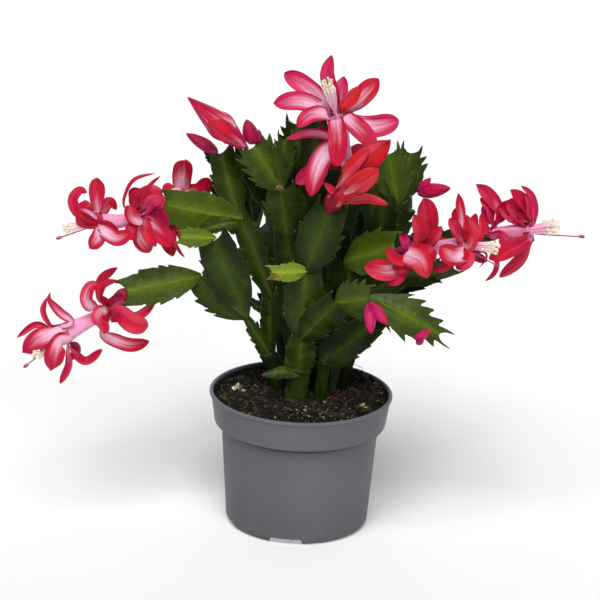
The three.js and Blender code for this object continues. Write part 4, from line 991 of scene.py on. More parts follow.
# One more tooth for leaves with strong claws, and the share of the others that lack one
CLAW_TOOTH = 0.86
STRONG_CLAW = 1.3
FEWER_TEETH_SHARE = 0.35
TOOTH_OUT = 1.6
TOOTH_FORWARD = 2.4
TOOTH_RISE = 0.12
TOOTH_FALL = 0.034
BAY_DEPTH = 0.8
BAY_PLACE = 0.045
BAY_WIDTH = 0.03
HORN_START = 0.88
RIB_END = 0.955
RIDGE_WIDTH = 1.5
VEIN_WIDTH = 1.2
SIDE_VEIN_WIDTH = 1.6
LEAF_ROWS = 58
LEAF_ACROSS = np.array([0, 0.05, 0.11, 0.19, 0.29, 0.42, 0.56, 0.70, 0.81, 0.89, 0.945, 0.98, 1.0])
BRISTLE_COUNT = 6
BRISTLE_RADII = [0.09, 0.07, 0.03]
SPIKE_PLACES = (-0.33, 0.3)
SPIKE_RADII = [0.62, 0.5, 0.06]


def stem_leaves(foot, rows, stem_seed):
    """The leaves of a stem, row by row."""
    tips, leaves = [], []
    for row, (start, x, y, z, width, turn, bend, *rest) in enumerate(rows):
        tip = np.array([x, y, z], float)
        base = np.array([foot[0], foot[1], ROOT_HEIGHT], float)
        if start >= 0:
            base = tips[start] - unit(tip - tips[start]) * JOINT_DEPTH
        tips.append(tip)
        chance = repeatable(stem_seed * 97 + row * 13)
        leaf = leaf_between(base, tip, width, turn, bend, rest[0] if rest else LEAF_YOUNG)
        leaf.update(
            stump=start < 0, broad=0.45 if start >= 0 and leaves[start]["stump"] else 0.0,
            seed=stem_seed * STEM_SEED_STEP + row,
            cup=LEAF_CUP * (next(chance) * 2 - 0.9), twist=LEAF_TWIST * (next(chance) - 0.5),
        )
        leaves.append(leaf)
    return leaves


def leaf_between(base, tip, width, turn, bend, young):
    axis = unit(tip - base)
    face = unit(FRONT - axis * (FRONT @ axis))
    angle = math.radians(turn)
    face = face * math.cos(angle) + np.cross(axis, face) * math.sin(angle)
    return dict(
        base=base, axis=axis, face=face, across=np.cross(face, axis),
        length=float(np.linalg.norm(tip - base)), width=width, bend=bend, young=young,
        stump=False, broad=0.0, seed=0, cup=1.0, twist=0.05,
    )


def leaf_points(leaf, along, part, lift):
    along, part, lift = (np.asarray(value, float)[..., None] for value in (along, part, lift))
    side = part * leaf["width"] / 2
    bend = leaf["bend"] * 4 * along * (1 - along)
    height = lift + bend + leaf["cup"] * part ** 2 + leaf["twist"] * side * along
    middle = leaf["base"] + leaf["axis"] * along * leaf["length"]
    return middle + leaf["across"] * side + leaf["face"] * height


def leaf_teeth(chance, claw):
    """Places of the teeth of one side."""
    teeth = [place + chance.uniform(-0.04, 0.04) for place in LEAF_TEETH]
    if claw > STRONG_CLAW:
        teeth.append(CLAW_TOOTH + chance.uniform(-0.02, 0.02))
    elif chance.random() < FEWER_TEETH_SHARE:
        teeth = teeth[1:] if chance.random() < 0.5 else [teeth[0], (teeth[1] + teeth[2]) / 2 + 0.03]
    return teeth


def leaf_side(chance, leaf, claw, taper):
    """One side in rows: even place and part of the width, reach of teeth and horn forwards and outwards,
    and how near a point it is."""
    length, size = leaf["length"], leaf["width"] / 2
    even = np.linspace(0, 1, LEAF_ROWS)
    envelope = smooth_path(LEAF_ENVELOPE, 80)
    part = np.interp(even, envelope[:, 0], envelope[:, 1]) + leaf["broad"] * smoothstep(0.5, 0, even)
    part = part * (1 - taper * smoothstep(0.45, 1, even))
    scale = min(1.0, length / FULL_LENGTH)
    forward, outward, sharp = np.zeros(LEAF_ROWS), np.zeros(LEAF_ROWS), np.zeros(LEAF_ROWS)
    for place in leaf_teeth(chance, claw):
        strength = chance.uniform(0.75, 1.25) * claw
        rise = smoothstep(place - TOOTH_RISE, place, even) ** 2.4 * (even <= place)
        fall = np.clip(1 - (even - place) / TOOTH_FALL, 0, 1) ** 1.3 * (even > place)
        spike = rise + fall
        bay = np.exp(-((even - place - BAY_PLACE) / BAY_WIDTH) ** 2) * (even > place)
        outward += scale * (TOOTH_OUT * strength * spike - BAY_DEPTH * bay) / size
        forward += strength * scale * TOOTH_FORWARD * (rise ** 1.5 + fall) / length
        sharp = np.maximum(sharp, spike ** 4)
    horn = smoothstep(HORN_START, 1.0, even)
    horn_reach = scale ** 2 * chance.uniform(3.8, 6.2) * min(1.25, 0.7 + 0.3 * claw) * horn ** 1.8 / length
    horn_out = scale * chance.uniform(0.0, 1.2) * horn / size
    sharp = np.maximum(sharp, horn ** 8)
    return even, part, forward, outward, horn_reach, horn_out, sharp


def leaf_grid(chance, leaf, claw, taper):
    """Both sides side by side: along, part of the width, share of the way out, and how near a point."""
    rib = RIB_END * np.linspace(0, 1, LEAF_ROWS)[:, None]
    t = LEAF_ACROSS[None]
    reach = smoothstep(0.74, 1.0, t) ** 1.5
    horn = smoothstep(0.84, 1.0, t) ** 1.2
    halves = []
    for hand in (-1, 1):
        side = leaf_side(chance, leaf, claw, taper)
        even, part, forward, outward, horn_reach, horn_out, sharp = (value[:, None] for value in side)
        shoulder = 0.03 * smoothstep(0.3, 1.0, t) * even ** 6
        along = rib + (even - rib) * t + shoulder + reach * forward + horn * horn_reach
        out = hand * (t * part + reach * outward + horn * horn_out)
        halves.append((along, out, t + 0 * part, sharp * t ** 8))
    return (np.hstack([left[:, :0:-1], right]) for left, right in zip(*halves))


def leaf_thickness(leaf, along, part, t, sharp, wave):
    """Half of it: a rib in the middle, thin margins and points, and soft lumps."""
    rib_half = RIB_HALF * (1.15 - 0.35 * along)
    thick = EDGE_HALF * 0.8 + (rib_half - EDGE_HALF) * 0.62 * (1 - t) ** 1.2
    ridge = np.exp(-(t * leaf["width"] / 2 / RIDGE_WIDTH) ** 2) * (1 - 0.55 * smoothstep(0.5, 1, along))
    thick += rib_half * 0.42 * ridge
    thick *= np.interp(t, [0, 0.93, 0.98, 1], [1, 1, 0.8, 0.3]) * (1 - 0.5 * sharp)
    lumps = waves(leaf_points(leaf, along, part, wave), leaf["seed"], 8.0)
    return thick + 0.15 * lumps * (1 - t ** 4) * smoothstep(0, 0.1, along)


def leaf_tones(leaf, along, across, t, sharp, wave, withered):
    vein = 0.8 * np.exp(-(t * leaf["width"] / 2 / VEIN_WIDTH) ** 2) * (1 - 0.4 * along)
    for notch in LEAF_TEETH:
        line = along - (notch - 0.2 * (1 - t))
        side_vein = np.exp(-(line * leaf["length"] / SIDE_VEIN_WIDTH) ** 2)
        vein += 0.12 * side_vein * smoothstep(0.02, 0.2, t)
    end = smoothstep(0.70, 1.0, along + 0.12 * wave - 0.25 * (across < 0))
    return field(leaf["young"], vein - sharp, np.maximum(sharp * 0.15, withered * end))


def add_leaf(piece, leaf, withered=0.0, claw=PLAIN_CLAW, taper=0.0):
    chance = random.Random(leaf["seed"])
    along, part, t, sharp = leaf_grid(chance, leaf, claw, taper)
    middle = len(LEAF_ACROSS) - 1
    across = np.hstack([-t[:, :middle], t[:, middle:]])
    wave = chance.uniform(0.3, 0.8) * np.sin(along * chance.uniform(8, 13) + chance.uniform(0, 6))
    wave = wave * t ** 2 * np.sign(part)
    thick = leaf_thickness(leaf, along, part, t, sharp, wave)
    piece.blade(
        leaf_points(leaf, along, part, wave + thick), leaf_points(leaf, along, part, wave - thick),
        field(along, across, leaf["seed"]), leaf_tones(leaf, along, across, t, sharp, wave, withered),
    )
    add_bristles(piece, leaf, chance)
    add_spikes(piece, leaf, chance, claw, taper)


def add_bristles(piece, leaf, chance):
    """Short ones where the next leaf grows."""
    root = leaf_points(leaf, 0.945, 0.0, 0.0)
    for _ in range(BRISTLE_COUNT):
        lean = leaf["axis"] + leaf["across"] * chance.uniform(-0.6, 0.6)
        lean = lean + leaf["face"] * chance.uniform(-0.7, 0.7)
        end = root + unit(lean) * chance.uniform(0.8, 1.8)
        piece.strand([root, (root + end) / 2, end], BRISTLE_RADII, 4, leaf["seed"], (0.9, 0.2, 0.35))


def add_spikes(piece, leaf, chance, claw, taper):
    """Small ones between the horns at the leaf's end."""
    tall = min(1.0, leaf["length"] / FULL_LENGTH) * (1.4 + claw)
    tones = np.array([(leaf["young"], 0, 0), (leaf["young"], 0, 0.1), (leaf["young"], 0, 0.5)])
    for part in SPIKE_PLACES:
        root = leaf_points(leaf, 0.93, part * (1 - taper), 0.0)
        lean = leaf["axis"] + leaf["across"] * (part + chance.uniform(-0.15, 0.15))
        lean = lean + leaf["face"] * chance.uniform(-0.1, 0.1)
        end = root + unit(lean) * (0.05 * leaf["length"] + tall * chance.uniform(0.4, 1.0))
        piece.strand([root, (root + end) / 2, end], SPIKE_RADII, 6, leaf["seed"], tones)


def add_stump(piece, leaf):
    parts = np.linspace(0, 1, 26)
    seed = leaf["seed"]
    front = seed == FRONT_STUMP_SEED
    path = leaf["base"] + leaf["axis"] * (parts * leaf["length"])[:, None]
    half = leaf["width"] / 2 * np.interp(parts, [0, 1], [0.8, 0.62]) * (FRONT_STUMP_SWELL if front else 1.0)
    waist = 0.08 * smoothstep(0.25, 0.55, parts) * smoothstep(1, 0.7, parts)
    half *= 1 + 0.12 * smoothstep(0.75, 1, parts) - waist

    def ribbed(part, angles):
        lumps = 0.06 * np.sin(angles * 5 + seed + 3 * part) + 0.05 * np.sin(angles * 3 + seed * 2 + 11 * part)
        return 1 + lumps + 0.03 * math.sin(part * 23 + seed)

    # Woody and brown where it leaves the soil; the stumps behind the front one get painted shade
    tones = field(0 if front else -0.22, 0, (0.5 if front else 0.2) * smoothstep(0.5, 0.28, parts))
    flat = STUMP_HALF * 1.15 / (leaf["width"] / 2 * 0.72)
    piece.strand(path, half, 36, seed, tones, ribbed, flat, leaf["face"])
    piece.spots[-1] = piece.spots[-1] * (1, 0.2, 1)


LEAVES = {
    name: stem_leaves(foot, rows, FIRST_STEM_SEED + index)
    for index, (name, (foot, rows)) in enumerate(STEMS.items())
}

# A piece of an old leaf over the front stump: the line it hangs from and which way it hangs
SCRAP_RIDGE = [(-26, -13, 105.2), (-19, -10.5, 108.2), (-12.5, -8, 109.5), (-6, -7, 107.3), (0.5, -8, 104)]
SCRAP_DROP = np.array([0.02, -0.62, -0.78])
SCRAP_FACE = np.array([0.0, -0.6, 0.8])
SCRAP_SEED = 4.4


def add_scrap(piece):
    u = np.linspace(0, 1, 24)[:, None]
    v = np.linspace(0, 1, 9)[None]
    deep = 1.2 + 7.2 * np.sin(u * math.pi) ** 0.9
    where = smooth_path(SCRAP_RIDGE, 24)[:, None] + SCRAP_DROP * (v * deep)[..., None]
    bulge = 0.5 * np.sin(v * math.pi) * np.sin(u * math.pi) + 0.25 * waves(where, 21, 6.0)
    thick = 0.25 * (1 - 0.6 * np.abs(2 * v - 1) ** 3) + 0 * u
    tones = field(0.20 - 0.12 * v, 0.5 * (1 - v) ** 5 - 0.62 * v ** 9, 0.1 + 0 * u)
    piece.sheet(where, SCRAP_FACE, bulge, thick, field(u, 2 * v - 1, SCRAP_SEED), tones)


def add_scar(piece):
    """Corky remains of a fallen bloom on a joint."""
    chance = random.Random(SCAR_SEED)
    for x, z, size, tone in SCAR:
        add_lump(piece, np.array([x, SCAR_DEPTH, z]), size, tone, chance)


def make_stems():
    for name, leaves in LEAVES.items():
        piece = Piece("leaves_" + name[5:])
        for row, leaf in enumerate(leaves):
            if leaf["stump"]:
                add_stump(piece, leaf)
            else:
                key = (name, row)
                claw, taper = CLAWS.get(key, PLAIN_CLAW), TAPERED.get(key, 0.0)
                add_leaf(piece, leaf, WITHERED.get(key, 0.0), claw, taper)
        for index, (stem, base, tip, width, turn, bend, young, *claw) in enumerate(FILLERS):
            if stem == name:
                leaf = leaf_between(np.array(base, float), np.array(tip, float), width, turn, bend, young)
                leaf["seed"] = FILLER_SEED + index
                add_leaf(piece, leaf, claw=claw[0] if claw else PLAIN_CLAW)
        if name == "stem_centre":
            add_scrap(piece)
        if name == "stem_mid_left":
            add_scar(piece)
        piece.finish("leaf", "leaf_green", name)


def seat_point(seat):
    stem, row, along, part, lift = seat
    return leaf_points(LEAVES[stem][row], along, part, lift)


# Half widths along a petal, for pointed and for blunt ones
PETAL_POINTED = [
    (0, 0.60), (0.12, 0.66), (0.28, 0.80), (0.45, 0.94), (0.6, 1.0), (0.72, 0.96), (0.83, 0.78), (0.92, 0.46),
    (0.97, 0.2), (1, 0.03),
]
PETAL_BLUNT = [
    (0, 0.68), (0.15, 0.76), (0.35, 0.90), (0.55, 0.99), (0.7, 1.0), (0.82, 0.94), (0.91, 0.76), (0.96, 0.50),
    (0.985, 0.28), (1, 0.05),
]
PETAL_ROWS = 29
PETAL_ACROSS = np.array([
    -1, -0.97, -0.88, -0.74, -0.56, -0.37, -0.18, 0, 0.18, 0.37, 0.56, 0.74, 0.88, 0.97, 1,
])


def outline_at(outline, parts):
    curve = smooth_path(outline, 70)
    return np.interp(parts, curve[:, 0], curve[:, 1])


def even_path(points, parts):
    """The smooth curve through the points, sampled by parts of its length."""
    curve = smooth_path(points, 160)
    lengths = np.concatenate([[0], np.cumsum(np.linalg.norm(np.diff(curve, axis=0), axis=1))])
    return np.stack([np.interp(parts * lengths[-1], lengths, curve[:, axis]) for axis in range(3)], 1)


def petal_directions(middle, parts, axis, outward):
    """Across and inside of each row: along the ring at the root, then turned to face the viewer."""
    tangent = units(np.gradient(middle, axis=0))
    ring_wise = unit(np.cross(axis, outward))
    front_wise = units(np.cross(FRONT, tangent))
    hand = -1 if np.sum(front_wise @ ring_wise) < 0 else 1
    turned = FACE_SHARE * smoothstep(0.05, 0.55, parts) * hand
    across = ring_wise * (1 - np.abs(turned))[:, None] + front_wise * turned[:, None]
    across = units(across - tangent * np.sum(across * tangent, 1)[:, None])
    return across, np.cross(tangent, across)


def petal_lift(chance, u, v, half, width, ring_radius, seed):
    """How far a petal rises off its middle plane: wrapped round the tube, cupped, ruffled and grooved."""
    ruffle = 0.8 * np.sin(u * chance.uniform(7, 13) + chance.uniform(0, 6))
    ruffle = ruffle * v ** 2 * np.sign(v) * smoothstep(0.2, 0.6, u)
    groove = -0.28 * np.exp(-(v * 4) ** 2) * smoothstep(0.05, 0.3, u) * smoothstep(1, 0.8, u)
    wrap = (v * half[:, None]) ** 2 / (2 * ring_radius + 2) * smoothstep(0.45, 0.1, u)
    cup = PETAL_CUP * chance.uniform(0.4, 1.2) * (width / 10) * u * v ** 2
    lift = wrap + cup + ruffle * min(1, width / 9) + groove
    return lift + 0.25 * min(1, width / 8) * waves(field(u * 3, v, 0), seed, 1.4)


def add_petal(piece, centre, axis, ring_radius, root, petal, seed):
    vias, width, blunt, pale, hue, *shade = petal
    chance = random.Random(seed)
    vias = [np.array(via, float) for via in vias]
    offset = vias[0] * 0.7 + vias[-1] * 0.3
    outward = unit(offset - axis * (offset @ axis))
    start = centre - axis * root + outward * ring_radius
    hug = start + axis * (root * 0.9 + 0.6) + outward * 0.7
    parts = 1 - (1 - np.linspace(0, 1, PETAL_ROWS)) ** 1.35
    middle = even_path([start, hug] + [centre + via for via in vias], parts)
    across, inside = petal_directions(middle, parts, axis, outward)
    half = outline_at(PETAL_POINTED, parts) * (1 - blunt) + outline_at(PETAL_BLUNT, parts) * blunt
    half = half * width / 2
    u, v = parts[:, None], PETAL_ACROSS[None]
    lift = petal_lift(chance, u, v, half, width, ring_radius, seed)
    thick = PETAL_HALF * min(1, width / 7) * (1 - 0.72 * np.abs(v) ** 3) * (1 - 0.45 * u ** 2)
    where = middle[:, None] + across[:, None] * (v * half[:, None])[..., None]
    tone = (pale, hue, shade[0] if shade else 0.0)
    piece.sheet(where, inside[:, None], lift, thick, field(u, v, seed), tone)


def add_ring(piece, centre, axis, ring, petals, seed):
    root, radius, step = ring
    for index, petal in enumerate(petals):
        add_petal(piece, centre, axis, radius + index * step, root, petal, seed + index)


def tube_line(bloom):
    """Seat, start of the outer petals, mouth and the direction of a flower's tube."""
    base, mouth = (np.array(bloom[key], float) for key in ("base", "mouth"))
    return seat_point(bloom["seat"]), base, mouth, unit(mouth - base)


def add_tube(piece, bloom):
    """The ovary and the tube, over the lip and down into the throat."""
    foot, base, mouth, axis = tube_line(bloom)
    outer = smooth_path([foot, (foot + base) / 2, base, (base + mouth) / 2, mouth], TUBE_ROWS)
    back, inner_radii, pales, darks = np.array(THROAT).T
    path = np.vstack([outer, mouth - axis * back[:, None]])
    radii = np.concatenate([smooth_values(TUBE_RADII, TUBE_ROWS), inner_radii])
    ovary = smoothstep(0.52, 0.40, np.linspace(0, 1, TUBE_ROWS))
    pale = bloom.get("tube", TUBE_PALE)
    tones = field(pale - (pale - 0.1) * ovary, 0, 0.45 * ovary)
    tones = np.vstack([tones, field(pales, 0, darks)])
    along = np.vstack([units(np.gradient(outer, axis=0)), np.tile(axis, (len(THROAT), 1))])
    angles = around(TUBE_SIDES)
    growth = np.minimum(1, np.arange(len(path)) / TUBE_ROWS)[:, None]
    flutes = 1 + FLUTE_DEPTH * np.cos(angles * FLUTE_COUNT) * growth
    spots = field(0.05, 0.6 * np.sin(angles * FLUTE_COUNT / 2) + 0 * growth, TUBE_MARK)
    piece.tube(path, along, radii[:, None] * flutes, spots, [(0, 0, 0), (0, 0, 0)], tones)


def make_bloom(name, bloom, seed):
    piece = Piece("petals_" + name)
    _, base, mouth, axis = tube_line(bloom)
    add_tube(piece, bloom)
    add_ring(piece, mouth, axis, INNER_RING, bloom["inner"], seed)
    add_ring(piece, base, axis, OUTER_RING, bloom["outer"], seed + OUTER_SEED)
    piece.finish("petal", "petal_pink", "bloom_" + name)


def make_half_open(seed):
    """Its tube is still closed by the innermost petals."""
    piece = Piece("petals_half_open")
    foot, base, mouth, axis = tube_line(HALF_OPEN)
    lean = unit(np.array(HALF_OPEN["lean"]))
    path = smooth_path([
        foot, base * 0.55 + foot * 0.45, base, mouth, mouth + lean * 9, mouth + lean * 19,
    ], HALF_OPEN_ROWS)
    ovary = smoothstep(0.62, 0.45, np.linspace(0, 1, HALF_OPEN_ROWS))
    tones = field(0.12, 0.85, 0.25 + 0.45 * ovary)
    radii = smooth_values(HALF_OPEN["radii"], HALF_OPEN_ROWS)
    piece.strand(
        path, radii, HALF_OPEN_SIDES, HALF_OPEN_MARK, tones,
        lambda part, angles: 1 + 0.03 * np.cos(angles * 5 + 4 * part),
    )
    add_ring(piece, mouth, axis, HALF_OPEN_INNER_RING, HALF_OPEN["inner"], seed)
    add_ring(piece, base, axis, HALF_OPEN_OUTER_RING, HALF_OPEN["outer"], seed + OUTER_SEED)
    piece.finish("petal", "petal_orange", "bloom_half_open")


def throat_frame(bloom):
    """A function that places a point along the tube from its mouth, up towards the anthers and sideways."""
    _, _, mouth, axis = tube_line(bloom)
    rise = unit(np.array(bloom["anthers"], float)) - unit(np.array(bloom["stigma"], float))
    rise = unit(rise - axis * (rise @ axis))
    across = np.cross(axis, rise)
    return lambda along, up, sideways: mouth + axis * along + rise * up + across * sideways


def make_stamens(name, bloom, seed):
    piece = Piece("stamen_bundle_" + name)
    at = throat_frame(bloom)
    chance = random.Random(seed * 7)
    anthers = np.array(bloom["mouth"], float) + np.array(bloom["anthers"], float)
    fork = (at(1, STAMEN_RISE, 0) + anthers) / 2
    along = unit(anthers - fork)
    up = np.array([0, 0, 1.0]) if abs(along[2]) < 0.9 else np.array([1.0, 0, 0])
    up = unit(up - along * (along @ up))
    across = np.cross(along, up)
    width = bloom["spread"]
    for index in range(STAMEN_COUNT):
        angle = 2 * math.pi * index * GOLDEN_PART + chance.uniform(-0.2, 0.2)
        radius = math.sqrt((index + 0.5) / STAMEN_COUNT)
        spread = up * math.sin(angle) + across * math.cos(angle)
        end = anthers + along * chance.uniform(-5.6, 4.2) + spread * width * radius
        deep, middle = STAMEN_ROOT_SPREAD * radius, 0.5 * width * radius
        path = smooth_path([
            at(STAMEN_ROOT, STAMEN_RISE + deep * math.sin(angle), deep * math.cos(angle)),
            at(0, STAMEN_RISE + middle * math.sin(angle), middle * math.cos(angle)),
            fork + spread * (0.55 * width + 0.5) * radius, end,
        ], STAMEN_ROWS)
        piece.strand(path, np.interp(np.linspace(0, 1, STAMEN_ROWS), [0, 1], STAMEN_RADII), 6, index)
        lean = unit(along + spread * chance.uniform(-0.6, 0.9) + up * chance.uniform(-0.5, 0.5))
        half = chance.uniform(0.75, 1.05)
        body = end + lean * np.linspace(-half, half, ANTHER_ROWS)[:, None]
        radii = ANTHER_HALF * np.sqrt(np.clip(1 - np.linspace(-1, 1, ANTHER_ROWS) ** 2, 0.01, 1))
        piece.strand(body, radii, 8, index, (1, 0, 0), lambda part, angles: 1 + 0.18 * np.cos(angles * 2))
    piece.finish("anther", "anther_cream", "stamens_" + name)


def make_style(name, bloom):
    piece = Piece("style_thread_" + name)
    at = throat_frame(bloom)
    stigma = np.array(bloom["mouth"], float) + np.array(bloom["stigma"], float)
    root, mouth, bow = (at(along, up, 0) for along, up in STYLE_ROUTE)
    path = smooth_path([root, mouth, bow * 0.6 + stigma * 0.4, stigma], STYLE_ROWS)
    piece.strand(path, np.interp(np.linspace(0, 1, STYLE_ROWS), [0, 0.6, 1], STYLE_RADII), 10, 1)
    lean = unit(path[-1] - path[-3])
    body = stigma + lean * np.linspace(-STIGMA_HALF, STIGMA_HALF, STIGMA_ROWS)[:, None]
    ends = np.abs(np.linspace(-1, 1, STIGMA_ROWS)) ** 2.4
    radii = STIGMA_RADIUS * np.clip(1 - ends, 0.02, 1) ** 0.7
    piece.strand(body, radii, 18, 5, shape=lambda part, angles: 1 + 0.13 * np.cos(angles * 6 + part * 2))
    piece.finish("style", "style_magenta", "style_" + name)


def scale_tone(large, blunt, hue, shift, dark):
    """How pale, how red and how dark a scale is. The hood of a large bud is paler than its short scales."""
    pale = 0.24
    if large and not blunt:
        pale = 0.8
    elif large and shift > 0:
        pale = 0.4
    shade = 0.22 if blunt and not large else 0
    return pale, min(1.0, max(0.0, hue + shift)), dark + shade


def add_bud(piece, foot, tip, width, hue, dark, place, seed):
    """A core and the scales that wrap it; place is its number among the buds of its seat."""
    large = width > LARGE_BUD_WIDTH
    kind = LARGE_BUD if large else SMALL_BUD
    outline = smooth_path(kind["outline"], 60)
    axis = unit(tip - foot)
    length = float(np.linalg.norm(tip - foot))
    side = unit(np.cross(axis, FRONT))
    up = np.cross(side, axis)

    def radius(part):
        value = np.interp(part, outline[:, 0], outline[:, 1]) * width / 2
        return np.minimum(value, FOOT_RADIUS + 40 * part * width / 10)

    parts = np.linspace(0, 1, BUD_ROWS)
    tones = field(0, hue, dark + 0.35 * smoothstep(0.3, 0.0, parts))
    piece.strand(foot + axis * (parts * length)[:, None], radius(parts) * 0.93, 24, seed, tones)
    rows, columns = kind["grid"]
    u, v = np.linspace(0, 1, rows)[:, None], np.linspace(-1, 1, columns)[None]
    for index, (turn, low, high, cover, blunt, lift, shift) in enumerate(kind["scales"]):
        along = low + (high - low) * u
        spread = cover * np.interp(u, *(BLUNT_SCALE if blunt else POINTED_SCALE))
        first = turn + (0 if large else 1.3 * place + 0.4 * seed)
        angle = first + v * spread + kind["winding"] * u
        rise = lift * width / 10 * (0.6 + 0.6 * (1 - v ** 2)) * smoothstep(0, 0.25, u) + 0.05
        swell = radius(along) * (1 + 0.03 * (1 - v ** 2)) + rise * (1 - 0.75 * smoothstep(0.75, 1, u) * blunt)
        outward = np.cos(angle)[..., None] * side + np.sin(angle)[..., None] * up
        thick = SCALE_HALF * (1 - 0.6 * np.abs(v) ** 3) + 0 * u
        tone = scale_tone(large, blunt, hue, shift, dark)
        spots = field((0.05 if blunt else 0.2) + 0.93 * u, v, seed + index)
        piece.sheet(foot + axis * (along * length)[..., None], outward, swell, thick, spots, tone)


def make_buds(name, seat, tips, seed):
    piece = Piece("sheath_" + name)
    for place, (x, y, z, width, hue, dark) in enumerate(tips):
        tip = np.array([x, y, z], float)
        foot = seat_point(seat)
        foot = foot + (tip - foot) * place * 0.03
        add_bud(piece, foot, tip, width, hue, dark, place, seed)
    piece.finish("petal", "bud_pink", name)


def lathe(profile, columns):
    """Points and faces of a round body from radius and height pairs that start and end on the axis."""
    angles = around(columns)
    radii, heights = np.array(profile[1:-1], float).T[..., None]
    rings = field(radii * np.cos(angles), radii * np.sin(angles), heights).reshape(-1, 3)
    points = np.vstack([rings, [(0, 0, profile[0][1])], [(0, 0, profile[-1][1])]])
    return points, tube_faces(len(radii), columns)


def rounded(profile, rounds):
    """The profile with short arcs in place of some corners; rounds has the size of each arc."""
    result = [profile[0]]
    for index in range(1, len(profile) - 1):
        corner = np.array(profile[index], float)
        if index not in rounds:
            result.append(tuple(corner))
            continue
        start = corner + unit(np.array(profile[index - 1], float) - corner) * rounds[index]
        end = corner + unit(np.array(profile[index + 1], float) - corner) * rounds[index]
        for part in np.linspace(0, 1, 5):
            result.append(tuple(start * (1 - part) ** 2 + corner * 2 * part * (1 - part) + end * part ** 2))
    result.append(profile[-1])
    return result


def cutter(outline, low, high, turn):
    """A body to cut with: an outline carried from low to high and turned about the pot's axis."""
    count = len(outline)
    points = np.vstack([outline + low, outline + high])
    points = points @ np.array(Matrix.Rotation(math.radians(turn), 3, "Z")).T
    faces = [[i, (i + 1) % count, count + (i + 1) % count, count + i] for i in range(count)]
    faces += [list(range(count - 1, -1, -1)), list(range(count, 2 * count))]
    mesh = bpy.data.meshes.new("cutter")
    mesh.from_pydata((points * MM).tolist(), [], faces)
    return link("cutter", mesh)


def notch_cutter(turn):
    """For a drain recess, which has round upper corners."""
    half = NOTCH_WIDTH / 2
    side, top = half - NOTCH_ROUND, NOTCH_HEIGHT - NOTCH_ROUND
    angles = np.linspace(0, math.pi / 2, 5)
    arc = [(NOTCH_ROUND * math.cos(angle), NOTCH_ROUND * math.sin(angle)) for angle in angles]
    outline = [(0, -half, -2), (0, half, -2)]
    outline += [(0, side + wide, top + high) for wide, high in arc]
    outline += [(0, -side - high, top + wide) for wide, high in arc]
    return cutter(np.array(outline), np.array([NOTCH_INNER_RADIUS, 0, 0]), np.array([LIP_RADIUS, 0, 0]), turn)


def drain_cutter(turn):
    turns = np.linspace(0, 2 * math.pi, DRAIN_SIDES, endpoint=False)
    circle = field(DRAIN_CENTRE + DRAIN_RADIUS * np.cos(turns), DRAIN_RADIUS * np.sin(turns), 0)
    return cutter(circle, np.array([0, 0, -1.0]), np.array([0, 0, 6.0]), turn)


def make_pot():
    piece = Piece("pot_body")
    piece.add(*lathe(rounded(POT_CORNERS, POT_ROUNDS), POT_COLUMNS))
    body = piece.finish("pot", "pot_grey", "pot")
    cutters = [make(turn) for turn in NOTCH_TURNS for make in (notch_cutter, drain_cutter)]
    for thing in cutters:
        modifier = body.modifiers.new("cut", "BOOLEAN")
        modifier.object = thing
        modifier.operation = "DIFFERENCE"
        modifier.solver = "EXACT"
    bpy.context.view_layer.update()
    cut = bpy.data.meshes.new_from_object(body.evaluated_get(bpy.context.evaluated_depsgraph_get()))
    body.modifiers.clear()
    body.data = cut
    for thing in cutters:
        bpy.data.objects.remove(thing)
    cut.shade_smooth()
    cut.set_sharp_from_angle(angle=math.radians(POT_SHARP_ANGLE))


# A regular body of twenty triangles, from which lumps are made
GOLDEN = (1 + math.sqrt(5)) / 2
LUMP_POINTS = np.array([
    (-1, GOLDEN, 0), (1, GOLDEN, 0), (-1, -GOLDEN, 0), (1, -GOLDEN, 0), (0, -1, GOLDEN), (0, 1, GOLDEN),
    (0, -1, -GOLDEN), (0, 1, -GOLDEN), (GOLDEN, 0, -1), (GOLDEN, 0, 1), (-GOLDEN, 0, -1), (-GOLDEN, 0, 1),
]) / math.hypot(1, GOLDEN)
LUMP_FACES = [
    (0, 11, 5), (0, 5, 1), (0, 1, 7), (0, 7, 10), (0, 10, 11), (1, 5, 9), (5, 11, 4), (11, 10, 2), (10, 7, 6),
    (7, 1, 8), (3, 9, 4), (3, 4, 2), (3, 2, 6), (3, 6, 8), (3, 8, 9), (4, 9, 5), (2, 4, 11), (6, 2, 10),
    (8, 6, 7), (9, 8, 1),
]

SOIL_DARK = (0.006, 0.005, 0.003)
# Crumb colours and how common each is, all over and where moss grows, and those near the front
CRUMB_TONES = {
    (0.006, 0.005, 0.003): 14, (0.020, 0.015, 0.008): 7, (0.003, 0.003, 0.002): 10,
    (0.048, 0.031, 0.015): 4.5, (0.030, 0.040, 0.010): 4.5, (0.095, 0.060, 0.026): 2.2,
    (0.17, 0.15, 0.075): 1.4, (0.58, 0.54, 0.38): 0.5,
}
MOSS_TONES = {
    (0.040, 0.062, 0.012): 5, (0.075, 0.10, 0.022): 3, (0.016, 0.022, 0.006): 5, (0.20, 0.22, 0.08): 0.6,
}
FRONT_TONES = [(0.13, 0.15, 0.05), (0.24, 0.24, 0.10), (0.42, 0.40, 0.24), (0.55, 0.50, 0.36)]
FIBRE_TONES = [(0.11, 0.06, 0.028), (0.06, 0.035, 0.016), (0.20, 0.14, 0.08), (0.03, 0.018, 0.01)]
# Where the soil is heaped: x, y, height and reach
HEAPS = [
    (33, 37, 4.8, 8), (41, 35, 4.6, 4), (48, 20, 4.2, 9), (52, 4, 2.5, 8), (-43, 24, 2.2, 9),
    (8, 50, 4.2, 10), (-14, 49, 4.2, 8), (-30, 42, 3.2, 7), (31, 7, 3.8, 7), (-18, 5, 4.0, 5.5),
    (-12, -30, -1.2, 9), (30, -25, 0.8, 8),
]
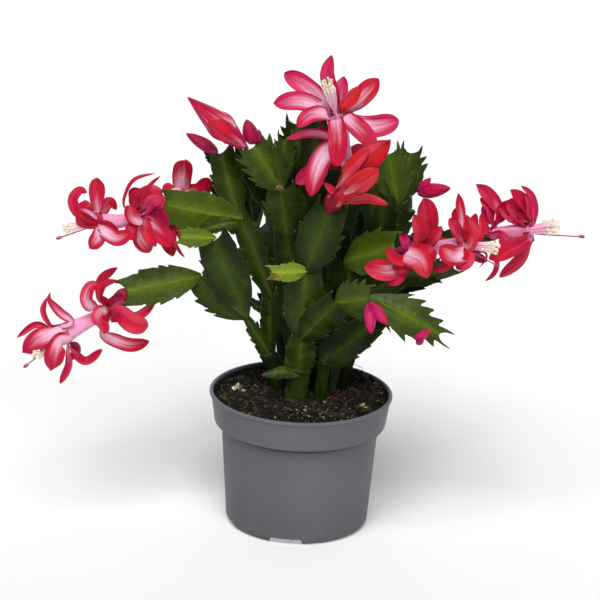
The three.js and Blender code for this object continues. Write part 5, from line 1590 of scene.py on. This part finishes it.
# Longer roots: points (x, y and lift above the soil), half thickness and colour
ROOTS = [
    ([(-53, 15, 4), (-52, 2, 5), (-49, -12, 4), (-44, -26, 1)], 0.22, (0.16, 0.09, 0.04)),
    ([(-50, 22, 1), (-40, 24, 4), (-34, 30, 2)], 0.2, (0.14, 0.08, 0.035)),
    ([(14, -25, 0), (16, -19, 5), (20, -14, 7), (22, -10, 3)], 0.11, (0.20, 0.18, 0.13)),
    ([(24, 36, 1), (32, 40, 6), (41, 35, 3)], 0.26, (0.04, 0.022, 0.012)),
    ([(46, 14, 0), (49, 20, 4), (46, 30, 2)], 0.24, (0.06, 0.035, 0.018)),
    ([(34, 24, 0), (42, 27, 5), (47, 20, 1)], 0.18, (0.15, 0.09, 0.04)),
]
# Chips: x, y, size and colour
CHIPS = [
    (-42, 12, 6.6, (0.60, 0.55, 0.40)), (-38, 9, 3.0, (0.5, 0.44, 0.3)), (40, -9, 4.2, (0.50, 0.50, 0.24)),
    (43, -12, 3.2, (0.54, 0.52, 0.30)), (3, -24, 3.2, (0.30, 0.21, 0.12)), (12, -23, 2.2, (0.26, 0.18, 0.10)),
    (42, 30, 4.6, (0.05, 0.03, 0.016)), (36, 43, 4.4, (0.02, 0.014, 0.01)),
    (45, 34, 3.6, (0.014, 0.01, 0.008)),
    (20, 50, 3.6, (0.06, 0.035, 0.02)), (49, 24, 3.4, (0.09, 0.05, 0.024)),
    (-20, 40, 3.4, (0.12, 0.07, 0.035)), (-28, -26, 3, (0.10, 0.12, 0.05)),
    (-41, 26, 4.2, (0.13, 0.075, 0.03)), (23, -4, 4.2, (0.26, 0.008, 0.055)),
    (24.5, -5, 3.0, (0.17, 0.005, 0.035)), (-41, 17, 3.6, (0.30, 0.20, 0.10)),
    (-30, 16, 2.6, (0.22, 0.17, 0.09)),
]


def soil_height(x, y):
    places = field(x, y, 0)
    height = SOIL_EDGE_HEIGHT + SOIL_MOUND * (1 - np.hypot(x, y) / LIP_RADIUS)
    for heap_x, heap_y, rise, reach in HEAPS:
        height = height + rise * np.exp(-((x - heap_x) ** 2 + (y - heap_y) ** 2) / (2 * reach ** 2))
    return height + 0.6 * waves(places, 3, 17.0) + 0.45 * waves(places, 4, 6.0)


def above_soil(x, y, lift):
    return x, y, float(soil_height(x, y)) + lift


def add_lump(piece, place, size, tone, chance):
    turn = np.array(Matrix.Rotation(chance.uniform(0, 6.28), 3, (chance.gauss(0, 1), chance.gauss(0, 1), 1)))
    jitter = np.array([chance.uniform(0.7, 1.25) for _ in range(12)])[:, None]
    stretch = np.array([1, chance.uniform(0.55, 1), chance.uniform(0.5, 0.7)])
    points = (LUMP_POINTS * jitter * stretch) @ turn.T * size / 2 + place
    piece.add(points, [LUMP_FACES], (0, 0, 0), tone)


def add_soil_body(piece):
    angles = around(SOIL_COLUMNS)
    radii = SOIL_EDGE_RADIUS * np.linspace(1, 0.02, SOIL_RINGS)[:, None]
    x, y = radii * np.cos(angles), radii * np.sin(angles)
    top = field(x, y, soil_height(x, y) + 0.25 * waves(field(x, y, 0), 5, 2.4))
    below = [field(radius * np.cos(angles), radius * np.sin(angles), height) for radius, height in SOIL_WALL]
    body = np.concatenate([below, top])
    points = np.vstack([body.reshape(-1, 3), [(0, 0, SOIL_BOTTOM)], [(0, 0, top[-1, 0, 2])]])
    piece.add(points, tube_faces(len(body), SOIL_COLUMNS), (0, 0, 0), SOIL_DARK)


def add_crumb(piece, chance):
    radius = (SOIL_EDGE_RADIUS - CRUMB_MARGIN) * math.sqrt(chance.random())
    angle = chance.uniform(0, 2 * math.pi)
    x, y = radius * math.cos(angle), radius * math.sin(angle)
    size = min(CRUMB_LARGEST, CRUMB_LEAST + chance.expovariate(1.1), 1 + (SOIL_EDGE_RADIUS - radius) * 1.4)
    mossy = waves(np.array([x, y, 0.0]), 9, 16.0) > MOSS_LEVEL and chance.random() < MOSS_SHARE
    tones = MOSS_TONES if mossy else CRUMB_TONES
    tone = chance.choices(list(tones), list(tones.values()))[0]
    if y < -20 and x > -22 and chance.random() < FRONT_SHARE:
        tone = chance.choice(FRONT_TONES)
    # Light crumbs are small
    if tone[0] > LIGHT_LEVEL:
        size = min(size, LIGHT_CRUMB_LARGEST)
    add_lump(piece, np.array(above_soil(x, y, size * CRUMB_RISE)), size, tone, chance)


def add_chip(piece, chance, x, y, size, tone):
    for _ in range(CHIP_LUMPS):
        shift = np.array([chance.uniform(-reach, reach) for reach in (0.3, 0.3, 0.1)]) * size
        place = np.array(above_soil(x, y, size * CHIP_RISE)) + shift
        add_lump(piece, place, size * chance.uniform(0.6, 0.95), tone, chance)


def add_fibre(piece, chance):
    radius = (SOIL_EDGE_RADIUS - FIBRE_MARGIN) * math.sqrt(chance.random())
    angle, heading = chance.uniform(0, 6.28), chance.uniform(0, 6.28)
    length, curl = chance.uniform(3, 13), chance.uniform(-1.6, 1.6)
    x, y = radius * math.cos(angle), radius * math.sin(angle)
    limit = SOIL_EDGE_RADIUS - 1
    path = []
    for step in range(FIBRE_STEPS + 1):
        lift = 0.5 + 1.6 * math.sin(step / FIBRE_STEPS * math.pi) * chance.uniform(0.4, 1)
        far = math.hypot(x, y)
        if far > limit:
            x, y = x / far * limit, y / far * limit
        path.append(above_soil(x, y, lift))
        heading += curl / FIBRE_STEPS
        x, y = x + math.cos(heading) * length / FIBRE_STEPS, y + math.sin(heading) * length / FIBRE_STEPS
    tone = chance.choice(FIBRE_TONES)
    piece.strand(path, np.linspace(*FIBRE_THICK, FIBRE_STEPS + 1) * chance.uniform(0.8, 1.5), 5, 0, tone)


def make_soil():
    piece = Piece("potting_soil")
    chance = random.Random(SOIL_SEED)
    add_soil_body(piece)
    for _ in range(CRUMB_COUNT):
        add_crumb(piece, chance)
    for x, y, size, tone in CHIPS:
        add_chip(piece, chance, x, y, size, tone)
    for _ in range(FIBRE_COUNT):
        add_fibre(piece, chance)
    for points, thick, tone in ROOTS:
        path = smooth_path([above_soil(x, y, lift) for x, y, lift in points], ROOT_STEPS)
        piece.strand(path, np.linspace(thick, thick * 0.5, ROOT_STEPS), 5, 0, tone)
    piece.finish("soil", "soil_brown", "soil", sharp=SOIL_SHARP_ANGLE)


def make_floor():
    """A floor that runs up into the backdrop."""
    paint = Paint("floor_pale", Roughness=0.9)
    tint = paint.noise(paint.place(), 3.0, 2.0)
    colour = paint.ramp(tint, [(0.3, (0.86, 0.86, 0.86)), (0.7, (0.90, 0.90, 0.90))])
    paint.set(paint.shader, {"Base Color": colour})
    rows = [(STAGE_FRONT, 0)]
    for angle in np.linspace(0, math.pi / 2, 16):
        away, height = BACKDROP_CORNER * math.sin(angle), BACKDROP_CORNER * math.cos(angle)
        rows.append((BACKDROP_START + away, BACKDROP_CORNER - height))
    rows.append((BACKDROP_START + BACKDROP_CORNER, BACKDROP_HEIGHT))
    points = [(x, y, z) for y, z in rows for x in (-STAGE_HALF_WIDTH, STAGE_HALF_WIDTH)]
    faces = [(2 * i, 2 * i + 1, 2 * i + 3, 2 * i + 2) for i in range(len(rows) - 1)]
    mesh = bpy.data.meshes.new("floor")
    mesh.from_pydata(points, [], faces)
    mesh.shade_smooth()
    mesh.materials.append(paint.material)
    floor = link("floor", mesh)


def make_lights():
    for name, (place, spread, power) in SUNS.items():
        light = bpy.data.lights.new(name, "SUN")
        light.angle = math.radians(spread)
        light.energy = power
        lamp = link(name, light)
        lamp.location = place
        lamp.rotation_euler = (-Vector(place)).to_track_quat("-Z", "Y").to_euler()


def make_camera():
    data = bpy.data.cameras.new("camera")
    data.lens = CAMERA_LENS
    data.sensor_width = CAMERA_SENSOR
    camera = link("camera", data)
    pitch = Matrix.Rotation(math.radians(CAMERA_PITCH), 4, "X")
    roll = Matrix.Rotation(math.radians(CAMERA_ROLL), 4, "Z")
    camera.matrix_world = Matrix.Translation([value * MM for value in CAMERA_PLACE]) @ (pitch @ roll)
    bpy.context.scene.camera = camera


make_camera()
make_floor()
make_lights()
bpy.context.scene.view_settings.view_transform = "Standard"
make_pot()
make_soil()
make_stems()
for index, (name, bloom) in enumerate(BLOOMS.items()):
    make_bloom(name, bloom, BLOOM_SEED + BLOOM_SEED_STEP * index)
    make_stamens(name, bloom, STAMEN_SEED + index)
    make_style(name, bloom)
make_half_open(HALF_OPEN_SEED)
for index, (name, (seat, tips)) in enumerate(BUDS.items()):
    make_buds(name, seat, tips, BUD_SEED + index)
